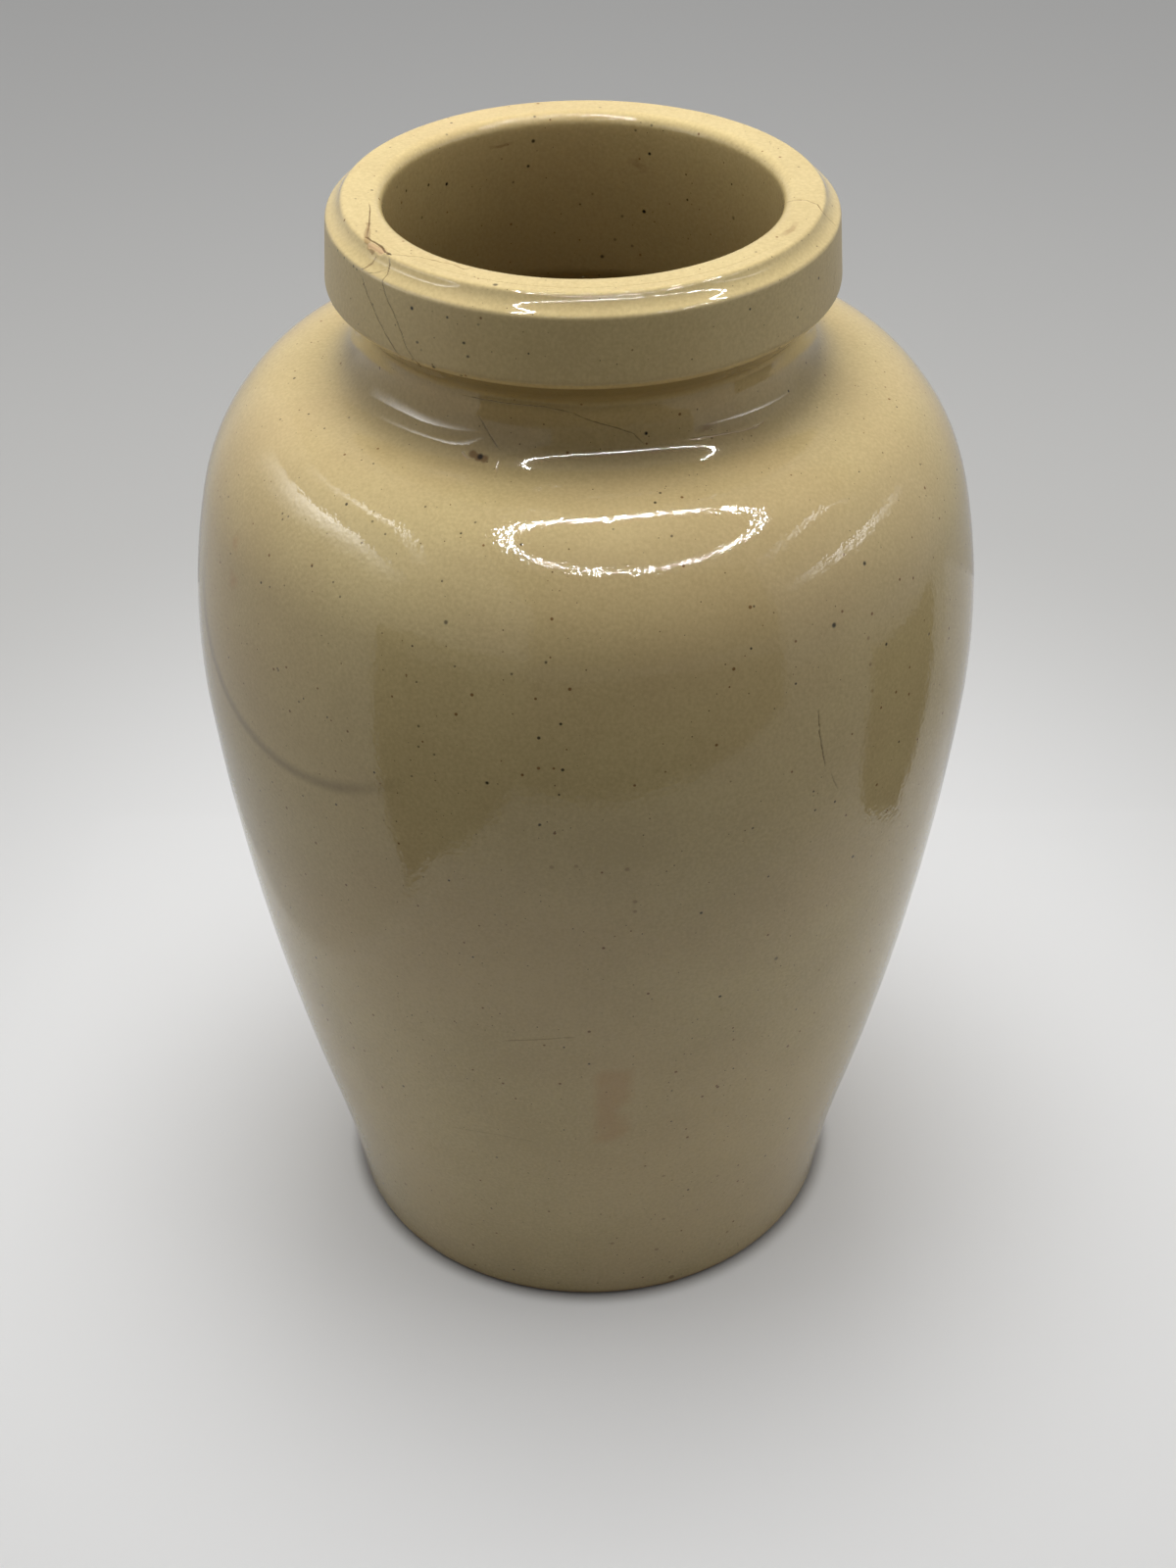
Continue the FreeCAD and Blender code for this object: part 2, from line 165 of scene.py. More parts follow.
UNDERCUT, COLLAR_EDGE_ARC, COLLAR_TAPER = math.radians(45), 0.7, math.radians(3.8)
BAND_TOP, BAND_FOOT = np.array([28.2, 138.0]), 130.9
COVE_ARC, CREST_RADIUS, SEAM_RADIUS = 3.2, 26.4, 25.0
LAP, LAP_DEPTH = 0.1, 0.015
LIP_ARC, THROAT_ARC, FLOOR_ARC = 1.3, 3.0, 11.0
print("crest", round(CREST, 2), "belly radius", round(BELLY_RADIUS, 2), "wall", round(WALL, 2), "mm")


# %% Arcs from their centres
def right_of(centre, height, reach):
    """Point at a height that is reach away from centre, on its outer side."""
    return np.array([centre[0] + math.sqrt(reach ** 2 - (height - centre[1]) ** 2), height])


def crossing(centre_a, radius_a, centre_b, radius_b):
    """Where two circles cross, on the right of the way from the first to the second."""
    way = centre_b - centre_a
    span = np.hypot(*way)
    along = (radius_a ** 2 - radius_b ** 2 + span ** 2) / (2 * span)
    across = math.sqrt(radius_a ** 2 - along ** 2)
    return centre_a + way * along / span + np.array([way[1], -way[0]]) * across / span


def arc(centre, start, end, step=0.1):
    """Points along the shorter arc about centre from start to end."""
    radius = math.dist(centre, start)
    first, last = (math.atan2(p[1] - centre[1], p[0] - centre[0]) for p in (start, end))
    turn = (last - first + math.pi) % (2 * math.pi) - math.pi
    angles = first + np.linspace(0, turn, max(3, round(abs(turn) * radius / step)))
    return centre + radius * np.column_stack([np.cos(angles), np.sin(angles)])


def straight(start, end, step=0.1):
    """Points along a straight stretch."""
    share = np.linspace(0, 1, max(2, round(math.dist(start, end) / step)))[:, None]
    return np.asarray(start) * (1 - share) + np.asarray(end) * share


def meeting(centre, neighbour, radius):
    """Where the arc about centre meets its neighbour's arc: on the line through both centres."""
    way = neighbour - centre
    return centre + way * radius / np.hypot(*way)


belly_centre = np.array([BELLY_RADIUS - BELLY_ARC, BELLY_HEIGHT])
wall_centre = 2 * belly_centre - right_of(belly_centre, WALL_HEIGHT, WALL_ARC - BELLY_ARC)
wall_centre[1] = WALL_HEIGHT
shoulder_centre = right_of(belly_centre, SHOULDER_HEIGHT, BELLY_ARC - SHOULDER_ARC)
crown_centre = right_of(shoulder_centre, CROWN_HEIGHT, SHOULDER_ARC - CROWN_ARC)
print("arc centres, mm:", belly_centre.round(2), wall_centre.round(2), shoulder_centre.round(2),
      crown_centre.round(2))


# %% Outside of the glazed pot, from the foot to the seam on the crest
def outside_outline():
    """Radius and height of points up the glazed outside."""
    foot = np.array([FOOT_RADIUS, 0.0])
    waist_centre = crossing(foot, WAIST_ARC, wall_centre, WALL_ARC + WAIST_ARC)
    neck_centre_radius = NECK_RADIUS + NECK_ARC
    rise = math.sqrt((CROWN_ARC + NECK_ARC) ** 2 - (neck_centre_radius - crown_centre[0]) ** 2)
    neck_centre = np.array([neck_centre_radius, CROWN_HEIGHT + rise])
    neck_foot = neck_centre - [NECK_ARC, 0]
    neck_top = np.array([NECK_RADIUS, NECK_TOP])
    into_undercut = np.array([-math.sin(UNDERCUT), math.cos(UNDERCUT)])
    into_band = -np.array([math.cos(COLLAR_TAPER), math.sin(COLLAR_TAPER)])
    sides = np.array([into_undercut, into_band])
    reach = sides @ np.column_stack([neck_top, BAND_TOP])
    edge_centre = np.linalg.solve(sides, np.diag(reach) + COLLAR_EDGE_ARC)
    crest_edge = np.array([CREST_RADIUS, CREST])
    cove_centre = max((crossing(crest_edge, COVE_ARC, BAND_TOP, COVE_ARC),
                       crossing(BAND_TOP, COVE_ARC, crest_edge, COVE_ARC)), key=lambda c: c[0])

    waist_top = meeting(waist_centre, wall_centre, WAIST_ARC)
    wall_top = meeting(wall_centre, belly_centre, WALL_ARC)
    belly_top = meeting(belly_centre, shoulder_centre, BELLY_ARC)
    shoulder_top = meeting(shoulder_centre, crown_centre, SHOULDER_ARC)
    crown_top = meeting(crown_centre, neck_centre, CROWN_ARC)
    under_edge = edge_centre - into_undercut * COLLAR_EDGE_ARC
    band_foot = edge_centre - into_band * COLLAR_EDGE_ARC
    stretches = [
        arc(waist_centre, foot, waist_top),
        arc(wall_centre, waist_top, wall_top),
        arc(belly_centre, wall_top, belly_top),
        arc(shoulder_centre, belly_top, shoulder_top),
        arc(crown_centre, shoulder_top, crown_top),
        arc(neck_centre, crown_top, neck_foot),
        straight(neck_foot, neck_top),
        straight(neck_top, under_edge),
        arc(edge_centre, under_edge, band_foot),
        straight(band_foot, BAND_TOP),
        arc(cove_centre, BAND_TOP, crest_edge),
        straight(crest_edge, (SEAM_RADIUS + 5 * LAP, CREST)),
        straight((SEAM_RADIUS + 5 * LAP, CREST), (SEAM_RADIUS - LAP, CREST - LAP_DEPTH)),
    ]
    return np.vstack([stretch[:-1] for stretch in stretches] + [stretches[-1][-1:]])


# %% Inside of the glazed pot, from the seam down to the middle of the floor
def inside_outline():
    """Radius and height of points down the glazed inside."""
    lip_centre = np.array([MOUTH_RADIUS + LIP_ARC, CREST - LIP_ARC])
    shoulder_radius = SHOULDER_ARC - WALL
    throat_radius = MOUTH_RADIUS + THROAT_ARC
    rise = math.sqrt((shoulder_radius + THROAT_ARC) ** 2 - (throat_radius - shoulder_centre[0]) ** 2)
    throat_centre = np.array([throat_radius, SHOULDER_HEIGHT + rise])
    wall_radius = WALL_ARC - WALL
    floor_centre = right_of(wall_centre, FLOOR_TOP + FLOOR_ARC, wall_radius - FLOOR_ARC)

    lip_top = lip_centre + [0, LIP_ARC]
    lip_bottom = lip_centre - [LIP_ARC, 0]
    bore_bottom = throat_centre - [THROAT_ARC, 0]
    throat_bottom = meeting(throat_centre, shoulder_centre, THROAT_ARC)
    shoulder_bottom = meeting(belly_centre, shoulder_centre, BELLY_ARC - WALL)
    belly_bottom = meeting(wall_centre, belly_centre, wall_radius)
    wall_bottom = meeting(wall_centre, floor_centre, wall_radius)
    floor_edge = floor_centre - [0, FLOOR_ARC]
    stretches = [
        straight((SEAM_RADIUS, CREST), lip_top),
        arc(lip_centre, lip_top, lip_bottom),
        straight(lip_bottom, bore_bottom),
        arc(throat_centre, bore_bottom, throat_bottom),
        arc(shoulder_centre, throat_bottom, shoulder_bottom),
        arc(belly_centre, shoulder_bottom, belly_bottom),
        arc(wall_centre, belly_bottom, wall_bottom),
        arc(floor_centre, wall_bottom, floor_edge),
        straight(floor_edge, (0.0, FLOOR_TOP)),
    ]
    return np.vstack([stretch[:-1] for stretch in stretches] + [stretches[-1][-1:]])


outside = outside_outline()
inside = inside_outline()
print("outline points:", len(outside), "outside,", len(inside), "inside")

# %% [markdown]
# ## From an outline to a coat of glaze
#
# Molten glaze rounds every corner that it runs over, so the outline is softened a little before it is
# turned: each point moves to the average of its near neighbours. The coat is a closed shell, so the
# outline goes up the glazed side, comes back on the clay side a third of a millimetre under it, and is
# then turned about the axis. Rows of faces lie close together on the rim, where the shapes are small,
# and further apart on the long calm wall.

# %% Soften, space out and thicken an outline
SOFTENING = 0.22
EVEN_STEP = 0.05
EDGE_ROW, RIM_ROW, WALL_ROW, INSIDE_ROW, HIDDEN_ROW = 0.18, 0.45, 1.4, 2.6, 4.0
RIM_STARTS, FOOT_ENDS = 119.0, 4.0
EDGES = ((129.9, 131.5), (137.4, 140.0))
COAT_STARTS, COAT_ROLL = 0.12, 0.2


def lengths(points):
    """Distance travelled along a line at each of its points."""
    return np.concatenate([[0], np.cumsum(np.hypot(*np.diff(points, axis=0).T))])


def resampled(points, at):
    """Points at given distances along a line."""
    travelled = lengths(points)
    return np.column_stack([np.interp(at, travelled, axis) for axis in points.T])


def soften(points):
    """Blur the outline along its length, and keep its two ends where they are."""
    path = resampled(points, np.arange(0, lengths(points)[-1], EVEN_STEP))
    spread = round(3 * SOFTENING / EVEN_STEP)
    bell = np.exp(-0.5 * (np.arange(-spread, spread + 1) * EVEN_STEP / SOFTENING) ** 2)
    before = 2 * path[0] - path[spread:0:-1]
    after = 2 * path[-1] - path[-2:-spread - 2:-1]
    padded = np.vstack([before, path, after])
    return np.column_stack([np.convolve(axis, bell / bell.sum(), "valid") for axis in padded.T])


def spaced(points, finest, fine, coarse):
    """Points along the outline: closest on the edges of the rim, close on the rim and the foot."""
    travelled = lengths(points)
    height = points[:, 1]
    step = np.where((height > RIM_STARTS) | (height < FOOT_ENDS), fine, coarse)
    for low, high in EDGES:
        step[(height > low) & (height < high) & (points[:, 0] > MOUTH_RADIUS + 0.01)] = finest
    count = np.concatenate([[0], np.cumsum(np.diff(travelled) / step[1:])])
    at = np.interp(np.linspace(0, count[-1], round(count[-1]) + 1), count, travelled)
    return resampled(points, at)


def outward(points):
    """Direction away from the clay at each point of a glazed outline."""
    way = np.gradient(points, axis=0)
    way /= np.hypot(*way.T)[:, None]
    return np.column_stack([way[:, 1], -way[:, 0]])


def off_the_table(points):
    """The outside from just above the table up, with a rounded lower edge."""
    kept = points[points[:, 1] > COAT_STARTS + COAT_ROLL]
    middle = kept[0] - [COAT_ROLL, 0]
    return np.vstack([arc(middle, middle - [0, COAT_ROLL], kept[0], EVEN_STEP)[:-1], kept])


smooth_outside = off_the_table(soften(outside))
smooth_inside = soften(inside)

# %% Turn a section about the axis
COLUMNS = 190
HIDDEN_DEPTH = COAT - 0.02


def turn_coat(points, wall_row):
    """Closed shell of glaze over an outline, with each corner's distance along the section."""
    glazed = spaced(points, EDGE_ROW, RIM_ROW, wall_row)
    clay_side = spaced(points, HIDDEN_ROW / 4, HIDDEN_ROW / 3, HIDDEN_ROW)
    clay_side = clay_side - outward(clay_side) * HIDDEN_DEPTH
    section = np.vstack([glazed, clay_side[::-1]])
    angles = math.pi / 2 + np.arange(COLUMNS) / COLUMNS * 2 * math.pi
    circle = np.column_stack([np.cos(angles), np.sin(angles)])
    level = np.broadcast_to(circle[None], (len(section), COLUMNS, 2)) * section[:, None, :1]
    height = np.broadcast_to(section[:, None, 1:], (len(section), COLUMNS, 1))
    corners = np.concatenate([level, height], -1).reshape(-1, 3) * MM
    row, column = np.meshgrid(np.arange(len(section)), np.arange(COLUMNS), indexing="ij")
    next_row, next_column = (row + 1) % len(section), (column + 1) % COLUMNS
    faces = np.stack([row * COLUMNS + column, row * COLUMNS + next_column,
                      next_row * COLUMNS + next_column, next_row * COLUMNS + column], -1)
    mesh = bpy.data.meshes.new("turned")
    mesh.from_pydata(corners.tolist(), [], faces.reshape(-1, 4).tolist())
    bm = bmesh.new()
    bm.from_mesh(mesh)
    bpy.data.meshes.remove(mesh)
    along = bm.verts.layers.float.new("along")
    travelled = lengths(section)
    for number, vertex in enumerate(bm.verts):
        vertex[along] = travelled[number // COLUMNS]
    on_axis = [v for v in bm.verts if math.hypot(v.co.x, v.co.y) < 0.001 * MM]
    bmesh.ops.remove_doubles(bm, verts=on_axis, dist=0.01 * MM)
    bmesh.ops.recalc_face_normals(bm, faces=bm.faces)
    glazed_length = lengths(glazed)[-1]
    print("turned", len(bm.faces), "faces, glazed side", round(glazed_length, 1), "mm long")
    return bm, glazed_length


outer_shell, outer_length = turn_coat(smooth_outside, WALL_ROW)
inner_shell, inner_length = turn_coat(smooth_inside, INSIDE_ROW)

# %% [markdown]
# ## Marks, placed by their pixels
#
# Cracks, pits and iron specks are what make this pot this pot, so each one that shows is put where the
# photograph has it. A pixel is turned into a ray from the camera, and the mark lies where that ray meets
# the glaze. A line of pixels gives a crack. The points are kept by kind, each with a half width and a
# strength, and they serve three times: they say where the mesh has to be finer, how deep the surface is
# cut, and where the material turns brown or dark.

# %% Lay marks on the glaze
MARK_STEP_PIXELS = 0.4
WANDER_PIXELS = 7.0
FADE_PIXELS = 12.0
glaze_surfaces = [BVHTree.FromBMesh(shell) for shell in (outer_shell, inner_shell)]
marks = {"crack": [], "stain": [], "speck": [], "bare": [], "tan": []}


def on_glaze(pixel):
    """Point of the glaze that the camera sees at a pixel, or None beside the pot."""
    start, way = ray_through(pixel)
    hits = [surface.ray_cast(start, way) for surface in glaze_surfaces]
    return min((hit for hit in hits if hit[0]), key=lambda hit: hit[3], default=(None,))[0]


def lay_line(kind, pixels, width, strength=1.0, wander=0.5, fade=True):
    """Lay a mark of a width in millimetres along a line of pixels."""
    pixels = np.array(pixels, float)
    end = lengths(pixels)[-1]
    at = np.arange(0, end, MARK_STEP_PIXELS)
    for distance, (x, y) in zip(at, resampled(pixels, at)):
        drift = noise.noise_vector(Vector((x, y, 0)) / WANDER_PIXELS) * wander
        place = on_glaze((x + drift.x, y + drift.y))
        left = min(distance, end - distance) / FADE_PIXELS if fade else 1
        uneven = 0.8 + 0.5 * noise.noise(Vector((x, y, 9)) / WANDER_PIXELS * 2)
        if place:
            marks[kind].append((place, width / 2 * uneven * MM, strength * min(1, 0.35 + left)))


def lay_spots(kind, spots):
    """Lay round marks, each (pixel, width in millimetres, strength)."""
    for pixel, width, strength in spots:
        place = on_glaze(pixel)
        if place:
            marks[kind].append((place, width / 2 * MM, strength))


# %% Hairline cracks on the left of the rim, where the crest was bruised
CREST_CRACK = [(377, 208), (377.5, 213), (377, 226), (376, 232), (374.5, 241)]
BRUISE_EDGE = [(374.2, 242), (379, 245.5), (383.5, 247.6), (390, 252.2), (394.3, 257.6), (399, 260)]
BRUISE_FOOT = [(374.2, 243), (375, 248), (377, 252), (379.5, 256), (383, 260)]
CREST_HAIRLINE = [(399.6, 259.6), (415.7, 261), (431.7, 263), (450.5, 267.6), (464, 270.3), (473, 275),
                  (479, 274), (485, 272.7)]
LEFT_HAIRLINE = [(383.5, 262.3), (379.5, 269), (374.2, 272.3), (368.8, 275.5)]
LEFT_BAND_HAIRLINE = [(368.8, 281), (374.2, 298.4), (379.5, 311.8), (386.2, 326.5), (394.3, 342.6),
                      (402.3, 356), (410.3, 365.4)]
RIGHT_HAIRLINE = [(396.9, 262.3), (397.6, 270.3), (395.6, 279.7), (390.2, 286.4), (390.9, 293),
                  (395.6, 306.5), (402.3, 321.2), (409, 338.6), (414.3, 354.7), (421, 365.4), (430, 373.8)]
LINK_HAIRLINE = [(372.8, 279.7), (383.5, 278.4), (394.3, 275.7)]
lay_line("crack", CREST_CRACK, 0.2)
lay_line("crack", BRUISE_EDGE, 0.32, fade=False)
lay_line("crack", CREST_HAIRLINE, 0.14, 0.55)
lay_line("crack", LEFT_HAIRLINE, 0.2, 0.6, fade=False)
lay_line("crack", LEFT_BAND_HAIRLINE, 0.17, 0.95)
lay_line("crack", RIGHT_HAIRLINE, 0.17, 0.8)
lay_line("crack", LINK_HAIRLINE, 0.13, 0.5)
lay_line("crack", [(425.5, 370), (430, 374.5)], 0.3, fade=False)
lay_line("stain", [(376, 228), (374.5, 243), (379, 256)], 0.8, 0.6, fade=False)
lay_line("stain", [(374.5, 244), (377, 252), (381, 257)], 1.0, 0.7, fade=False)
lay_line("stain", LEFT_HAIRLINE, 0.5, 0.4)
lay_line("bare", [(379, 250), (386, 254), (390, 257)], 1.0, 1.0, wander=1.0, fade=False)

# %% Cracks on the right of the rim and in the neck
RIGHT_CREST_CRACK = [(800, 207.5), (803, 206), (811, 204), (823, 204), (834, 208), (841, 218), (853, 230)]
RIGHT_BAND_CRACK = [(853, 272), (851, 286), (849, 301)]
NECK_HAIRLINE = [(583, 421), (590, 424), (604, 430), (620, 434), (635, 439), (647, 442.5), (657, 453.5)]
NECK_HAIRLINE_LEFT = [(471, 403), (490, 407), (520, 412), (555, 415), (583, 421)]
NECK_BRANCH = [(488, 424), (494, 434), (502, 448), (510, 459)]
lay_line("crack", RIGHT_CREST_CRACK, 0.16, 0.75)
lay_line("crack", RIGHT_BAND_CRACK, 0.14, 0.5)
lay_line("crack", NECK_HAIRLINE, 0.15, 0.7)
lay_line("crack", NECK_HAIRLINE_LEFT, 0.13, 0.6)
lay_line("crack", NECK_BRANCH, 0.15, 0.7)

# %% Iron specks and pits that show one by one, each with its width in millimetres
COLLAR_SPECKS = [((420.4, 314.5), 0.47, 1.0), ((456.5, 323.9), 0.34, 0.9), ((488, 331.2), 0.3, 0.5),
                 ((425.7, 349.3), 0.36, 0.8), ((429.7, 357.3), 0.3, 0.4), ((473.2, 350), 0.36, 0.9),
                 ((477.3, 364), 0.36, 0.85), ((442.4, 374.7), 0.47, 1.0), ((470.6, 383.4), 0.36, 0.9),
                 ((505.4, 290.6), 0.6, 0.75), ((380.2, 310.5), 0.3, 0.6), ((362.8, 202.7), 0.3, 0.5),
                 ((379.5, 194), 0.38, 0.7), ((398.2, 150.5), 0.3, 0.5), ((455.8, 137.3), 0.34, 0.5),
                 ((771.4, 257), 0.3, 0.6), ((612.3, 109.8), 0.34, 0.5), ((815, 170), 0.34, 0.5)]
MOUTH_SPECKS = [((544.1, 144), 0.51, 0.9), ((539, 169.6), 0.42, 0.9), ((455.8, 187.8), 0.47, 1.0),
                ((523.7, 186), 0.34, 0.6), ((662.8, 157), 0.42, 1.0), ((657.2, 215.9), 0.51, 1.0),
                ((405, 191), 0.34, 0.5), ((430.5, 222), 0.42, 0.5), ((634.8, 220.7), 0.42, 0.5),
                ((614.3, 261.9), 0.51, 0.8), ((627.5, 244.5), 0.42, 0.5), ((645, 251), 0.42, 0.5),
                ((748.4, 222.6), 0.51, 0.5), ((664.8, 128), 0.34, 0.6), ((648.5, 133), 0.34, 0.6),
                ((545.5, 119), 0.34, 0.7), ((604.5, 198), 0.34, 0.4)]
BODY_SPECKS = [((659.4, 442.2), 0.42, 1.0), ((673.7, 502.9), 0.32, 0.9), ((685.5, 547), 0.32, 0.8),
               ((531.8, 555.5), 0.34, 0.9), ((851, 638), 0.64, 0.9), ((882, 575), 0.51, 0.9),
               ((455, 635), 0.51, 0.7), ((497, 799), 0.47, 0.9), ((792, 978), 0.59, 0.6),
               ((625.7, 540), 0.26, 0.6)]
LOWER_SPECKS = [((768, 845), 0.3, 0.8), ((557, 676), 0.35, 0.8), ((522, 688), 0.3, 0.7),
                ((485, 533), 0.3, 0.7), ((380, 532), 0.3, 0.7), ((427, 741), 0.35, 0.7),
                ((284, 684), 0.35, 0.7), ((507, 1181), 0.35, 0.8), ((948, 647), 0.4, 0.7),
                ((396.5, 259), 0.5, 0.8), ((384, 236), 0.3, 0.6), ((344.7, 255.6), 0.3, 0.7),
                ((351.4, 263), 0.3, 0.7), ((360.8, 271.7), 0.35, 0.8), ((364.1, 275), 0.3, 0.7),
                ((795, 355), 0.35, 0.7), ((332, 229.5), 0.35, 0.6), ((403, 1051), 0.3, 0.4)]
lay_spots("speck", COLLAR_SPECKS + MOUTH_SPECKS + BODY_SPECKS + LOWER_SPECKS)

# %% Stains, smears and scratches
lay_spots("speck", [((490, 466), 0.75, 0.9)])
lay_line("stain", [(482, 463), (488, 467), (494, 468)], 1.1, 0.9, fade=False)
lay_line("bare", [(472, 461), (474, 465), (478, 469)], 0.45, 0.8)
lay_line("stain", [(712, 439), (720, 436), (729, 433)], 1.0, 0.6)
lay_line("bare", [(780, 430), (771.6, 436), (755, 440), (724.7, 445.3), (704, 448)], 0.25, 0.5)
lay_line("bare", [(509, 472), (507, 480), (505, 488)], 0.25, 0.4)
lay_line("stain", [(812, 227.7), (807.9, 234.7), (798, 240)], 0.9, 0.45)
lay_line("stain", [(500.6, 150.5), (512, 149), (523, 146)], 0.5, 0.5)
lay_line("stain", [(646, 165), (650.8, 168.2), (656, 172)], 1.4, 0.4)
lay_line("crack", [(835, 724), (836, 747), (842, 782)], 0.16, 0.8)
lay_line("crack", [(848, 789), (851, 797), (855, 805)], 0.14, 0.6)
lay_line("stain", [(460, 1150), (509, 1158), (547, 1166)], 0.2, 0.3)
lay_line("stain", [(513, 1062), (550, 1061), (588, 1058)], 0.25, 0.5)
TAPE_LEFT, TAPE_RIGHT, TAPE_TOP, TAPE_BOTTOM = 608, 640, 1094, 1162
for across in range(TAPE_LEFT, TAPE_RIGHT + 1, 8):
    lay_line("tan", [(across, TAPE_TOP), (across, TAPE_BOTTOM)], 1.3, 0.8, wander=2.0, fade=False)
for path, width in (([(244, 548), (238, 556)], 1.0), ([(236, 590), (240, 600)], 1.2)):
    lay_line("tan", path, width, 0.8, fade=False)
LEFT_SPECKS = [(294, 527), (288, 524), (288, 530), (233, 507), (235, 565), (381, 473), (286, 428),
               (331, 437), (356, 426), (393, 545), (369, 554), (340, 594), (347, 609), (275, 599),
               (283, 682), (464, 680), (425, 696), (305, 716), (334, 732), (427, 762), (443, 770),
               (420, 792), (278, 798), (309, 812), (318, 578), (434, 517), (451, 593)]
lay_spots("speck", [(pixel, 0.27, 0.8) for pixel in LEFT_SPECKS])
BROWN_SPOTS = [((563, 885), 0.6, 0.5), ((588, 884), 0.5, 0.5), ((640, 887), 0.6, 0.6), ((648, 920), 0.6, 0.6),
               ((648, 930), 0.5, 0.6), ((886, 651), 0.5, 0.6), ((888, 678), 0.5, 0.6), ((890, 705), 0.5, 0.5),
               ((625, 1269), 0.6, 0.6), ((670, 1275), 0.6, 0.6), ((677, 1244), 0.5, 0.6),
               ((742, 1257), 0.5, 0.6), ((732, 1200), 0.5, 0.5), ((677, 1200), 0.5, 0.5),
               ((414, 1208), 0.5, 0.6), ((685, 1303), 0.9, 0.7)]
lay_spots("stain", BROWN_SPOTS)

# %% Painted reflection: a thin dark curved line on the left of the belly
PAINTED_REFLECTION_LINE = [(265, 440), (240, 455), (225, 480), (215, 545), (212, 620), (217, 655), (230, 700), (255, 750),
            (285, 785), (330, 802), (370, 800)]
PAINTED_REFLECTION_LINE_WIDTH, PAINTED_REFLECTION_LINE_SHADE = 0.3 * MM, 0.42
# A sphere is fitted to the glaze under the line's pixels. The material later darkens a thin band where the glaze
# meets it, a painted reflection of a dark edge of the surroundings.
places = np.array([on_glaze(pixel) for pixel in PAINTED_REFLECTION_LINE])
rows = np.column_stack([2 * places, np.ones(len(places))])
solution = np.linalg.lstsq(rows, (places ** 2).sum(1), rcond=None)[0]
PAINTED_REFLECTION_LINE_CENTRE = solution[:3]
PAINTED_REFLECTION_LINE_RADIUS = math.sqrt(solution[3] + (PAINTED_REFLECTION_LINE_CENTRE ** 2).sum())
misses = np.linalg.norm(places - PAINTED_REFLECTION_LINE_CENTRE, axis=1) - PAINTED_REFLECTION_LINE_RADIUS
print("lap line: sphere of", round(PAINTED_REFLECTION_LINE_RADIUS / MM, 1), "mm, misses", np.round(misses / MM, 2))
print("marks laid:", {kind: len(points) for kind, points in marks.items()})

# %% [markdown]
# ## Fine mesh only where there is something fine
#
# A hairline crack is 0.15 mm wide, and a mesh that fine all over the pot would have forty million faces.
# So the turned mesh stays coarse, and the faces near a mark are cut in four, again and again, each time
# in a narrower strip. New corners are then set back on the true outline, because the middle of an edge
# lies a little inside a round pot.

# %% Refine near the marks
STRIPS = (1.0, 0.6, 0.36, 0.2)
FINE_ENOUGH = (0.085 * MM) ** 2
FINE_KINDS = ("crack", "speck", "bare", "stain")


def tree_of(points):
    """Search tree over mark points."""
    tree = KDTree(len(points))
    for number, (place, _, _) in enumerate(points):
        tree.insert(place, number)
    tree.balance()
    return tree


fine_marks = [point for kind in FINE_KINDS for point in marks[kind]]
fine_tree = tree_of(fine_marks)


def refine(shell, glazed_length):
    """Cut the glazed faces near marks in four, in narrowing strips."""
    along = shell.verts.layers.float["along"]
    for strip in STRIPS:
        edges = set()
        for face in shell.faces:
            if max(v[along] for v in face.verts) > glazed_length + 0.01:
                continue
            _, number, gap = fine_tree.find(face.calc_center_median())
            if gap < strip * MM + fine_marks[number][1] and face.calc_area() > FINE_ENOUGH:
                edges.update(face.edges)
        bmesh.ops.subdivide_edges(shell, edges=list(edges), cuts=1, use_grid_fill=True)
    print("after refining:", len(shell.faces), "faces")


refine(outer_shell, outer_length)
refine(inner_shell, inner_length)

# %% [markdown]
# ## The surface that a thrower leaves
#
# Fingers on a turning wheel leave shallow rings, the pot dries and fires a little out of true, and thick
# glaze softens both. These are a few hundredths of a millimetre, too small to see as shape, but a glossy
# surface shows them at once in how its highlights bend. The same step cuts the cracks and pits in.

# %% Seat the corners, throw the rings and cut the marks
RING_SPACING, RING_DEPTH = 5.5, 0.02
SWELL_SIZE, SWELL_DEPTH = 26.0, 0.05
LUMP_SIZE, LUMP_DEPTH = 6.5, 0.018
MARK_DEPTH = {"crack": 0.09, "speck": 0.012, "bare": 0.12, "stain": 0.0, "tan": 0.0}
WIPED_TO, WIPED_RAGGED, WIPED_RAGGED_SIZE = 0.75, 0.3, 5.0


def mark_strength(kind, places):
    """How strongly a kind of mark shows at each place, from 0 to 1."""
    strength = np.zeros(len(places))
    if not marks[kind]:
        return strength
    tree = tree_of(marks[kind])
    for number, place in enumerate(places):
        _, nearest, gap = tree.find(place)
        half, full = marks[kind][nearest][1:]
        inside_share = 1 - gap / (1.1 * half)
        if inside_share > 0:
            strength[number] = full * min(1, 2.2 * inside_share)
    return strength


def hand_made(place):
    """Height in millimetres that the wheel, the kiln and the glaze leave at a place."""
    rings = noise.noise(Vector((0, place.z / 8, place.z)) / (RING_SPACING * MM)) * RING_DEPTH
    swell = noise.noise(place / (SWELL_SIZE * MM)) * SWELL_DEPTH
    lumps = noise.noise(place / (LUMP_SIZE * MM)) * LUMP_DEPTH
    return rings + swell + lumps


